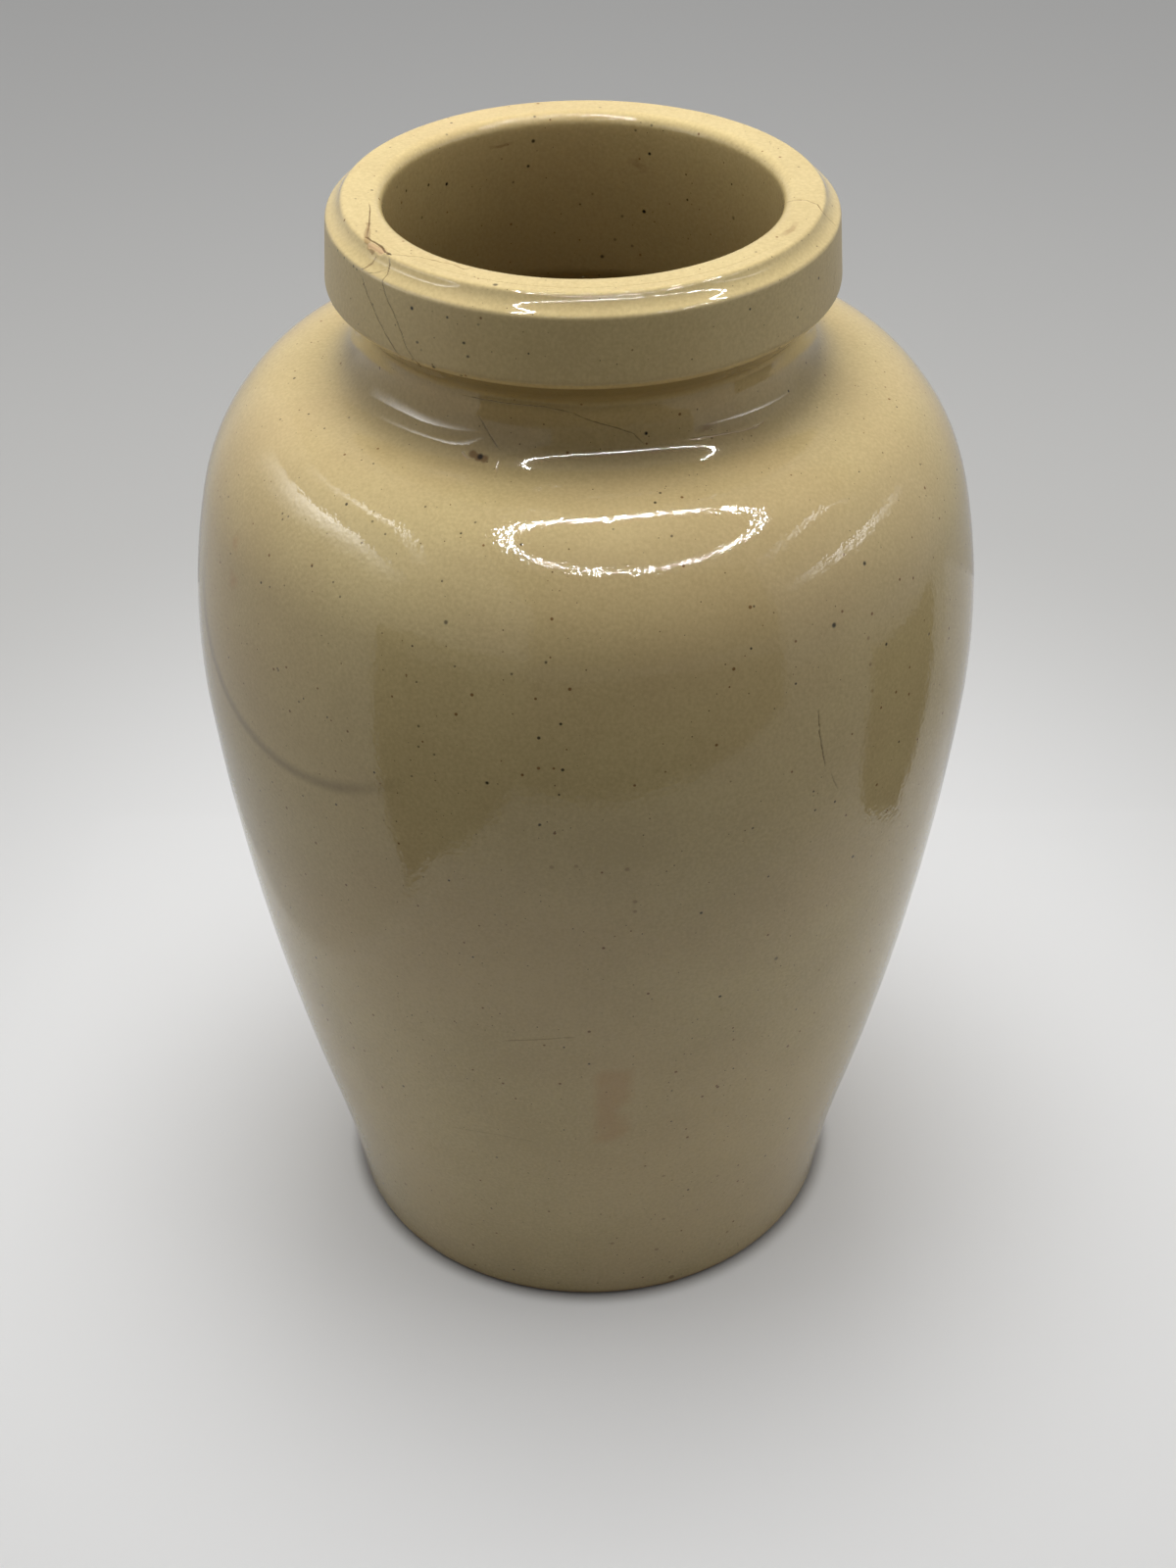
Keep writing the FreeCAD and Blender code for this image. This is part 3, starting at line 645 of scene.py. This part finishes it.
def finish_surface(shell, points, glazed_length):
    """Move every glazed corner to its final place, and return the strength of each mark there."""
    along = shell.verts.layers.float["along"]
    travelled = np.array([v[along] for v in shell.verts])
    glazed_side = travelled <= glazed_length + 0.01
    fine = resampled(points, np.arange(0, lengths(points)[-1], EVEN_STEP))
    reach = lengths(fine)
    seat = [np.interp(travelled * reach[-1] / glazed_length, reach, axis) for axis in fine.T]
    normal = [np.interp(travelled * reach[-1] / glazed_length, reach, axis) for axis in outward(fine).T]
    for number, vertex in enumerate(shell.verts):
        if glazed_side[number]:
            level = Vector(vertex.co.xy)
            level = level.normalized() if level.length > 0 else level
            vertex.co = Vector((*(level * seat[0][number]), seat[1][number])) * MM
    places = [v.co.copy() for v in shell.verts]
    strengths = {kind: mark_strength(kind, places) * glazed_side for kind in marks}
    heights = np.array([place.z for place in places]) / MM
    ragged = np.array([noise.noise(place / (WIPED_RAGGED_SIZE * MM)) for place in places])
    wiped = np.clip((WIPED_TO + WIPED_RAGGED * ragged - heights) / 0.15, 0, 1)
    strengths["bare"] = np.maximum(strengths["bare"], wiped)
    for number, vertex in enumerate(shell.verts):
        if not glazed_side[number]:
            continue
        place = places[number]
        height = hand_made(place) - sum(strengths[kind][number] * MARK_DEPTH[kind] for kind in marks)
        level = Vector(place.xy)
        level = level.normalized() if level.length > 0 else level
        way = Vector((*(level * normal[0][number]), normal[1][number]))
        vertex.co = place + way * height * MM
    return strengths


outer_strengths = finish_surface(outer_shell, smooth_outside, outer_length)
inner_strengths = finish_surface(inner_shell, smooth_inside, inner_length)


# %% Make the two coats objects of the scene
CALM_REACH, COVE_CALM = 31.5, 1.0


def coat_object(name, shell, strengths, glazed_length, node):
    """Object from a finished shell, in place of its CAD node, with the marks and the painted shade as
    attributes.
    """
    along = shell.verts.layers.float["along"]
    for edge in shell.edges:
        if all(min(v[along], abs(v[along] - glazed_length)) < 0.01 for v in edge.verts):
            edge.smooth = False
    mesh = bpy.data.meshes.new(name)
    shell.to_mesh(mesh)
    shell.free()
    mesh.shade_smooth()
    heights = np.array([v.co.z for v in mesh.vertices]) / MM
    reach = np.array([math.hypot(v.co.x, v.co.y) for v in mesh.vertices]) / MM
    # Painted shade: the glaze is browned and darkened on the neck under the collar, and more and more down the
    # mouth, where shade falls.
    sheltered = np.minimum((heights - NECK_TOP + 1.5) / 3, (BAND_FOOT - heights) / 0.5)
    deeper_in_mouth = np.clip((CREST - 1 - heights) / 24, 0, 1) ** 0.6
    pooled = np.where(reach > MOUTH_RADIUS + 2, sheltered, deeper_in_mouth)
    strengths["pooled"] = np.clip(pooled, 0, 1) * (reach < BAND_TOP[0])
    on_band = (heights > BAND_FOOT - 0.3) & (heights < BAND_TOP[1] - 0.2) & (reach > BAND_TOP[0] - 0.5)
    strengths["handled"] = on_band * (reach < CREST_RADIUS + 4)
    on_neck = np.clip((CALM_REACH - reach) / 2, 0, 1) * (heights < BAND_FOOT)
    in_cove = np.clip((heights - BAND_TOP[1] + 0.6) / 0.4, 0, 1) * (reach > SEAM_RADIUS)
    strengths["calm"] = np.maximum(on_neck, COVE_CALM * in_cove) * (node == "outer_glaze")
    for kind, values in strengths.items():
        attribute = mesh.attributes.new(kind, "FLOAT", "POINT")
        attribute.data.foreach_set("value", values.astype(np.float32))
    coat = bpy.data.objects.new(name, mesh)
    bpy.context.scene.collection.objects.link(coat)
    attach(coat, "root")
    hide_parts(node)
    mesh.calc_loop_triangles()
    print(name, len(mesh.loop_triangles), "triangles")
    return coat


outer_coat = coat_object("outer_coat", outer_shell, outer_strengths, outer_length,
                         "outer_glaze")
inner_coat = coat_object("inner_coat", inner_shell, inner_strengths, inner_length,
                         "inner_glaze")
clay_body = frame["nodes"]["stoneware_body"]

# %% [markdown]
# ## Glaze
#
# The coat is a feldspathic stoneware glaze: powdered feldspar, clay and whiting, melted at 1200 degrees
# into a hard cream glass. It is glossy because its surface is a frozen liquid, and warm and speckled
# because iron in the clay bleeds into it. Glass of this kind has an IOR of about 1.5. Its surface has
# a fine orange peel, half a millimetre from lump to lump, which breaks a sharp lamp into sparks.

# %% Feldspathic glaze
CREAM, BUFF, BLUSH = "#d9c48e", "#cbb581", "#cba981"
# The fourth colour on the next line is painted shade, the brown that darkens the glaze under the collar and down
# the mouth.
IRON, IRON_DARK, BARE_CLAY, PAINTED_SHADE_BROWN = "#6d5330", "#1c150d", "#bb9b70", "#6f5a2b"
STAIN, TAN = "#80572a", "#c99d69"
GLAZE_IOR, GLAZE_ROUGHNESS, HANDLED_ROUGHNESS, CLAY_ROUGHNESS = 1.5, 0.05, 0.38, 0.75
BLOOM_SIZE, BLUSH_SIZE, MOTTLE_SIZE = 16 * MM, 34 * MM, 0.4 * MM
SPECK_KINDS = ((0.85 * MM, 0.12 * MM, IRON), (1.7 * MM, 0.24 * MM, STAIN), (2.5 * MM, 0.24 * MM, IRON_DARK))
PEEL_SIZE, PEEL_HEIGHT, CALM_PEEL = 0.58 * MM, 0.023 * MM, 0.24


def glaze(name):
    """Glossy cream glaze with iron specks and the marks that the mesh carries, painted shade among them, and
    with a painted reflection line.
    """
    material = empty_material(name)
    tree = material.node_tree
    place = add_node(tree, "ShaderNodeTexCoord").outputs["Object"]

    bloom = add_node(tree, "ShaderNodeTexNoise",
                     {"Vector": place, "Scale": 1 / BLOOM_SIZE, "Detail": 3}).outputs["Fac"]
    mottle = add_node(tree, "ShaderNodeTexNoise",
                      {"Vector": place, "Scale": 1 / MOTTLE_SIZE, "Detail": 4}).outputs["Fac"]
    tone = add_node(tree, "ShaderNodeMath", {0: mottle, 1: 1.2, 2: bloom}, operation="MULTIPLY_ADD").outputs[0]
    tone = add_node(tree, "ShaderNodeMapRange", {0: tone, 1: 0.85, 2: 1.35}).outputs[0]
    colour = add_node(tree, "ShaderNodeMix", {0: tone, 6: linear(BUFF), 7: linear(CREAM)},
                      data_type="RGBA").outputs[2]
    blush = add_node(tree, "ShaderNodeTexNoise",
                     {"Vector": place, "Scale": 1 / BLUSH_SIZE, "Detail": 4}).outputs["Fac"]
    blush = add_node(tree, "ShaderNodeMapRange", {0: blush, 1: 0.45, 2: 0.65, 4: 0.22}).outputs[0]
    colour = add_node(tree, "ShaderNodeMix", {0: blush, 6: colour, 7: linear(BLUSH)},
                      data_type="RGBA").outputs[2]

    for cell, widest, shade in SPECK_KINDS:
        cells = add_node(tree, "ShaderNodeTexVoronoi", {"Vector": place, "Scale": 1 / cell})
        chosen = add_node(tree, "ShaderNodeSeparateColor", {0: cells.outputs["Color"]}).outputs
        radius = add_node(tree, "ShaderNodeMapRange", {0: chosen["Red"], 1: 0.45, 2: 1.0, 3: 0.0,
                                                       4: widest / cell}).outputs[0]
        core = add_node(tree, "ShaderNodeMath", {0: radius, 1: 0.65}, operation="MULTIPLY").outputs[0]
        speck = add_node(tree, "ShaderNodeMapRange", {0: cells.outputs["Distance"], 1: radius, 2: core,
                                                      3: 0.0, 4: 0.85}).outputs[0]
        colour = add_node(tree, "ShaderNodeMix", {0: speck, 6: colour, 7: linear(shade)},
                          data_type="RGBA").outputs[2]

    # Painted reflection: a thin dark band where the glaze meets the fitted sphere, shown only left of the middle
    # and low on the belly.
    from_centre = add_node(tree, "ShaderNodeVectorMath", {0: place, 1: tuple(PAINTED_REFLECTION_LINE_CENTRE)},
                           operation="DISTANCE").outputs["Value"]
    gap = add_node(tree, "ShaderNodeMath", {0: from_centre, 1: PAINTED_REFLECTION_LINE_RADIUS}, operation="SUBTRACT").outputs[0]
    gap = add_node(tree, "ShaderNodeMath", {0: gap}, operation="ABSOLUTE").outputs[0]
    line = add_node(tree, "ShaderNodeMapRange", {0: gap, 1: PAINTED_REFLECTION_LINE_WIDTH, 2: 0.0, 3: 0.0, 4: PAINTED_REFLECTION_LINE_SHADE},
                    interpolation_type="SMOOTHSTEP").outputs[0]
    side = add_node(tree, "ShaderNodeSeparateXYZ", {0: place}).outputs
    near = add_node(tree, "ShaderNodeMapRange", {0: side["X"], 1: -19 * MM, 2: -27 * MM}).outputs[0]
    low = add_node(tree, "ShaderNodeMapRange", {0: side["Z"], 1: 103 * MM, 2: 94 * MM}).outputs[0]
    line = add_node(tree, "ShaderNodeMath", {0: line, 1: near}, operation="MULTIPLY").outputs[0]
    line = add_node(tree, "ShaderNodeMath", {0: line, 1: low}, operation="MULTIPLY").outputs[0]
    colour = add_node(tree, "ShaderNodeMix", {0: line, 6: colour, 7: linear(IRON)},
                      data_type="RGBA").outputs[2]
    # Painted shade under the collar and down the mouth comes first, then stains, tan, bare clay, cracks and
    # specks.
    for kind, shade, most in (("pooled", PAINTED_SHADE_BROWN, 0.75), ("stain", STAIN, 0.8), ("tan", TAN, 0.6), ("bare", BARE_CLAY, 1.0),
                              ("crack", IRON, 0.95), ("speck", IRON_DARK, 1.0)):
        shown = add_node(tree, "ShaderNodeAttribute", attribute_name=kind).outputs["Fac"]
        shown = add_node(tree, "ShaderNodeMath", {0: shown, 1: most}, operation="MULTIPLY").outputs[0]
        colour = add_node(tree, "ShaderNodeMix", {0: shown, 6: colour, 7: linear(shade)},
                          data_type="RGBA").outputs[2]

    peel = add_node(tree, "ShaderNodeTexNoise",
                    {"Vector": place, "Scale": 1 / PEEL_SIZE, "Detail": 1}).outputs["Fac"]
    calm = add_node(tree, "ShaderNodeAttribute", attribute_name="calm").outputs["Fac"]
    calm = add_node(tree, "ShaderNodeMapRange", {0: calm, 3: 1.0, 4: CALM_PEEL}).outputs[0]
    bump = add_node(tree, "ShaderNodeBump", {"Height": peel, "Distance": PEEL_HEIGHT, "Strength": calm})
    roughness = GLAZE_ROUGHNESS
    for kind, rough in (("handled", HANDLED_ROUGHNESS), ("bare", CLAY_ROUGHNESS)):
        shown = add_node(tree, "ShaderNodeAttribute", attribute_name=kind).outputs["Fac"]
        roughness = add_node(tree, "ShaderNodeMix", {0: shown, 2: roughness, 3: rough}).outputs[0]
    shader = add_node(tree, "ShaderNodeBsdfPrincipled",
                      {"Base Color": colour, "Roughness": roughness, "IOR": GLAZE_IOR,
                       "Normal": bump.outputs[0]})
    add_node(tree, "ShaderNodeOutputMaterial", {"Surface": shader.outputs[0]})
    return material


outer_coat.data.materials.append(glaze("feldspathic_glaze_outside"))
inner_coat.data.materials.append(glaze("feldspathic_glaze_inside"))

# %% Bare fired stoneware
CLAY_BUFF, CLAY_TAN = "#b79d78", "#96795a"
GRAIN_SIZE, GRAIN_HEIGHT = 0.5 * MM, 0.03 * MM
stoneware = empty_material("fired_stoneware")
tree = stoneware.node_tree
place = add_node(tree, "ShaderNodeTexCoord").outputs["Object"]
grain = add_node(tree, "ShaderNodeTexNoise",
                 {"Vector": place, "Scale": 1 / GRAIN_SIZE, "Detail": 4}).outputs["Fac"]
colour = add_node(tree, "ShaderNodeMix", {0: grain, 6: linear(CLAY_TAN), 7: linear(CLAY_BUFF)},
                  data_type="RGBA").outputs[2]
bump = add_node(tree, "ShaderNodeBump", {"Height": grain, "Distance": GRAIN_HEIGHT, "Strength": 1})
shader = add_node(tree, "ShaderNodeBsdfPrincipled",
                  {"Base Color": colour, "Roughness": 0.85, "Normal": bump.outputs[0]})
add_node(tree, "ShaderNodeOutputMaterial", {"Surface": shader.outputs[0]})
clay_body.data.materials.clear()
clay_body.data.materials.append(stoneware)

# %% [markdown]
# ## Table, lamps and cards
#
# The pot stands under soft lamps on a white table, which is painted greyer away from the pot: a painted pool of
# light.
# Soft lamps alone leave a glossy glaze looking like matt plastic, because gloss is seen only by what it
# mirrors. So the light is made in two layers, as in a product studio. Large area lamps light the pot and
# are kept out of its reflections. Cards and a loop of light tube are there for the glaze to mirror, and
# give little or no light of their own.

# %% Table and surroundings
TABLE_SIZE = 8.0
TABLE_WHITE, TABLE_PAINTED_DIM, DISTANCE_GREY = "#d2d2d2", "#a9a8a5", "#8f8f8d"
WHITE_ENDS, GREY_STARTS = 60 * MM, 190 * MM
TABLE_LIFT, MIRRORED_LIFT, ROOM_LIGHT = 0.23, 0.7, 0.08


table_paint = empty_material("white_laminate")
tree = table_paint.node_tree
place = add_node(tree, "ShaderNodeTexCoord").outputs["Object"]
# Painted pool of light: the table is white near the pot and is painted greyer between 60 and 190 mm from its
# axis.
reach = add_node(tree, "ShaderNodeVectorMath", {0: place}, operation="LENGTH").outputs["Value"]
away = add_node(tree, "ShaderNodeMapRange", {0: reach, 1: WHITE_ENDS, 2: GREY_STARTS},
                interpolation_type="SMOOTHSTEP").outputs[0]
colour = add_node(tree, "ShaderNodeMix", {0: away, 6: linear(TABLE_WHITE), 7: linear(TABLE_PAINTED_DIM)},
                  data_type="RGBA").outputs[2]
rays = add_node(tree, "ShaderNodeLightPath").outputs
lift = add_node(tree, "ShaderNodeMath", {0: rays["Is Glossy Ray"], 1: MIRRORED_LIFT, 2: rays["Is Camera Ray"]},
                operation="MULTIPLY_ADD").outputs[0]
# Painted contact shade: the table's own glow fades out within 34 mm of the axis, so the ring round the foot
# stays dark on top of the lamps' real shadow.
clear = add_node(tree, "ShaderNodeMapRange", {0: reach, 1: 31.2 * MM, 2: 34 * MM, 3: 0.0, 4: TABLE_LIFT},
                 interpolation_type="SMOOTHSTEP").outputs[0]
lift = add_node(tree, "ShaderNodeMath", {0: lift, 1: clear}, operation="MULTIPLY").outputs[0]
shader = add_node(tree, "ShaderNodeBsdfPrincipled",
                  {"Base Color": colour, "Roughness": 0.7, "Specular IOR Level": 0.2,
                   "Emission Color": linear("#ffffff"), "Emission Strength": lift})
add_node(tree, "ShaderNodeOutputMaterial", {"Surface": shader.outputs[0]})

world = bpy.data.worlds.new("studio")
world.use_nodes = True
tree = world.node_tree
tree.nodes.clear()
seen = add_node(tree, "ShaderNodeBackground", {"Color": linear(DISTANCE_GREY), "Strength": 1})
room = add_node(tree, "ShaderNodeBackground", {"Color": linear("#ffffff"), "Strength": ROOM_LIGHT})
straight_on = add_node(tree, "ShaderNodeLightPath").outputs["Is Camera Ray"]
either = add_node(tree, "ShaderNodeMixShader", {0: straight_on, 1: room.outputs[0], 2: seen.outputs[0]})
add_node(tree, "ShaderNodeOutputWorld", {"Surface": either.outputs[0]})
bpy.context.scene.world = world


def stage_mesh(name, points, faces, material):
    """Flat piece in millimetres that belongs to the stage and not to the pot."""
    mesh = bpy.data.meshes.new(name)
    mesh.from_pydata([Vector(p) * MM for p in points], [], faces)
    mesh.materials.append(material)
    item = bpy.data.objects.new(name, mesh)
    bpy.context.scene.collection.objects.link(item)
    return item


half = TABLE_SIZE / 2 / MM
stage_mesh("table", [(-half, -half, 0), (half, -half, 0), (half, half, 0), (-half, half, 0)],
           [(0, 1, 2, 3)], table_paint)


# %% Soft lamps, which light the pot but aren't mirrored in it
def soft_lamp(name, place, aim, width, height, radiance):
    """Rectangular lamp in millimetres that shines from a place towards an aim."""
    data = bpy.data.lights.new(name, "AREA")
    data.shape = "RECTANGLE"
    data.size, data.size_y = width * MM, height * MM
    data.energy = radiance * math.pi * data.size * data.size_y
    lamp = bpy.data.objects.new(name, data)
    way = Vector(aim) - Vector(place)
    turned = way.to_track_quat("-Z", "Y").to_matrix().to_4x4()
    lamp.matrix_world = Matrix.Translation(Vector(place) * MM) @ turned
    lamp.visible_camera = False
    lamp.visible_glossy = False
    bpy.context.scene.collection.objects.link(lamp)
    return lamp


soft_lamp("overhead_back", (0, 80, 300), (0, 0, 100), 150, 150, 3.2)
soft_lamp("overhead_left", (-90, 0, 300), (0, 0, 100), 150, 150, 0.75)
soft_lamp("overhead_high", (0, 0, 600), (0, 0, 0), 300, 300, 6.2)
soft_lamp("fill_left", (-300, 0, 200), (0, 0, 70), 400, 300, 0.35)
soft_lamp("fill_right", (350, 0, 200), (0, 0, 70), 400, 300, 0.65)


# %% Cards that only the glaze sees
def glow(name, strength):
    """Material of something that the glaze mirrors."""
    material = empty_material(name)
    tree = material.node_tree
    light = add_node(tree, "ShaderNodeEmission", {"Color": linear("#ffffff"), "Strength": strength})
    add_node(tree, "ShaderNodeOutputMaterial", {"Surface": light.outputs[0]})
    return material


def mirrored_only(item):
    """Keep a card or tube out of everything but reflections."""
    item.visible_camera = False
    item.visible_diffuse = False
    item.visible_shadow = False
    return item


def card(name, axis, at, low, high, strength):
    """Card square to an axis, from a low to a high corner given in the other two directions."""
    corners = [(low[0], low[1]), (high[0], low[1]), (high[0], high[1]), (low[0], high[1])]
    points = [corner[:axis] + (at,) + corner[axis:] for corner in corners]
    return mirrored_only(stage_mesh(name, points, [(0, 1, 2, 3)], glow(name, strength)))


card("card_left", 0, -80, (-72, 0), (74, 168), 0.52)
card("card_left_high", 0, -80, (-72, 168), (74, 255), 0.33)
card("card_left_front", 0, -80, (-300, 112), (-72, 255), 0.4)
card("card_right", 0, 180, (-150, 60), (74, 200), 0.5)
card("card_right_high", 0, 180, (-150, 200), (74, 255), 0.36)
card("card_right_low", 0, 180, (-150, 0), (-43, 60), 0.4)
card("card_back", 1, 74, (-80, 45), (180, 255), 0.42)
card("card_back_low", 1, 74, (-80, 0), (180, 45), 0.55)
card("card_above", 2, 255, (-80, -150), (180, 74), 0.25)


# %% Dark felt beside the pot, so that the white surroundings have an end
FELT = 0.05
LEFT_FELT = [(-87, -78), (-80, -102), (-68, -152), (-61, -236), (-54, -284), (-260, -284), (-189, -149),
             (-116, -105)]
RIGHT_FELT = [(112, 10), (118, -22), (143, -35), (180, -42), (180, 47), (143, 26)]
FRONT_FELT = [(-600, -200), (-600, -900), (600, -900), (600, -200)]
for name, outline in (("felt_left", LEFT_FELT), ("felt_right", RIGHT_FELT), ("felt_front", FRONT_FELT)):
    points = [(x, y, 1) for x, y in outline]
    mirrored_only(stage_mesh(name, points, [tuple(range(len(points)))], glow(name, FELT)))
card("felt_left_up", 0, -80, (-92, 1), (-72, 112), FELT)
card("felt_right_up", 0, 180, (-43, 1), (47, 50), FELT)


# %% Soft strips of light along the sides
def light_strip(name, at, path, above, below, strength):
    """Strip on a side, bright along a path of (y, z) and fading out above and below it."""
    points, faces = [], []
    for number, (y, z) in enumerate(path):
        points += [(at, y, z - below), (at, y, z), (at, y, z + above)]
        if number:
            low = 3 * number
            faces += [(low - 3, low, low + 1, low - 2), (low - 2, low + 1, low + 2, low - 1)]
    material = empty_material(name)
    tree = material.node_tree
    share = add_node(tree, "ShaderNodeAttribute", attribute_name="share").outputs["Fac"]
    share = add_node(tree, "ShaderNodeMath", {0: share, 1: 2}, operation="POWER").outputs[0]
    light = add_node(tree, "ShaderNodeEmission", {"Color": linear("#ffffff"), "Strength": strength})
    clear = add_node(tree, "ShaderNodeBsdfTransparent")
    strip = add_node(tree, "ShaderNodeMixShader", {0: share, 1: clear.outputs[0], 2: light.outputs[0]})
    add_node(tree, "ShaderNodeOutputMaterial", {"Surface": strip.outputs[0]})
    item = mirrored_only(stage_mesh(name, points, faces, material))
    shares = item.data.attributes.new("share", "FLOAT", "POINT")
    ends = [min(1, 2 * min(n, len(path) - 1 - n) / len(path) + 0.2) for n in range(len(path))]
    shares.data.foreach_set("value", [value for end in ends for value in (0, end, 0)])


light_strip("strip_left_low", -79, [(20, 138), (5, 138), (-10, 141), (-25, 147), (-40, 150), (-58, 151),
                                    (-75, 150)], 2.5, 18, 9)
light_strip("strip_left_high", -79, [(15, 166), (4, 168), (-8, 174), (-20, 181), (-33, 191), (-46, 191),
                                     (-58, 185), (-70, 176), (-80, 170)], 4, 12, 10)
light_strip("strip_right_low", 179, [(-125, 172), (-105, 172), (-80, 170), (-50, 167), (-22, 164),
                                     (5, 160), (30, 156), (50, 152)], 2.5, 14, 9)
light_strip("strip_right_high", 179, [(-140, 246), (-115, 246), (-80, 245), (-45, 247), (-15, 244),
                                      (0, 232), (8, 212), (12, 196)], 5, 8, 10)


# %% Ring of light tube
TUBE_CENTRE, TUBE_HALF, TUBE_TURN = (34.1, -73.0), (85.8, 78.5), 0.31
TUBE_HEIGHT, TUBE_WIDTH, TUBE_GLOW = 255.0, 1.6, 200.0
TUBE_PARTS = 96
rings = []
for side in (-0.5, 0.5):
    for part in range(TUBE_PARTS):
        angle = part / TUBE_PARTS * 2 * math.pi
        across = (TUBE_HALF[0] + side * TUBE_WIDTH) * math.cos(angle)
        away = (TUBE_HALF[1] + side * TUBE_WIDTH) * math.sin(angle)
        rings.append((TUBE_CENTRE[0] + across * math.cos(TUBE_TURN) - away * math.sin(TUBE_TURN),
                      TUBE_CENTRE[1] + across * math.sin(TUBE_TURN) + away * math.cos(TUBE_TURN),
                      TUBE_HEIGHT))
quads = [(i, (i + 1) % TUBE_PARTS, TUBE_PARTS + (i + 1) % TUBE_PARTS, TUBE_PARTS + i)
         for i in range(TUBE_PARTS)]
mirrored_only(stage_mesh("light_tube", rings, quads, glow("light_tube", TUBE_GLOW)))

# %% Plain colours on screen
bpy.context.scene.view_settings.view_transform = "Standard"
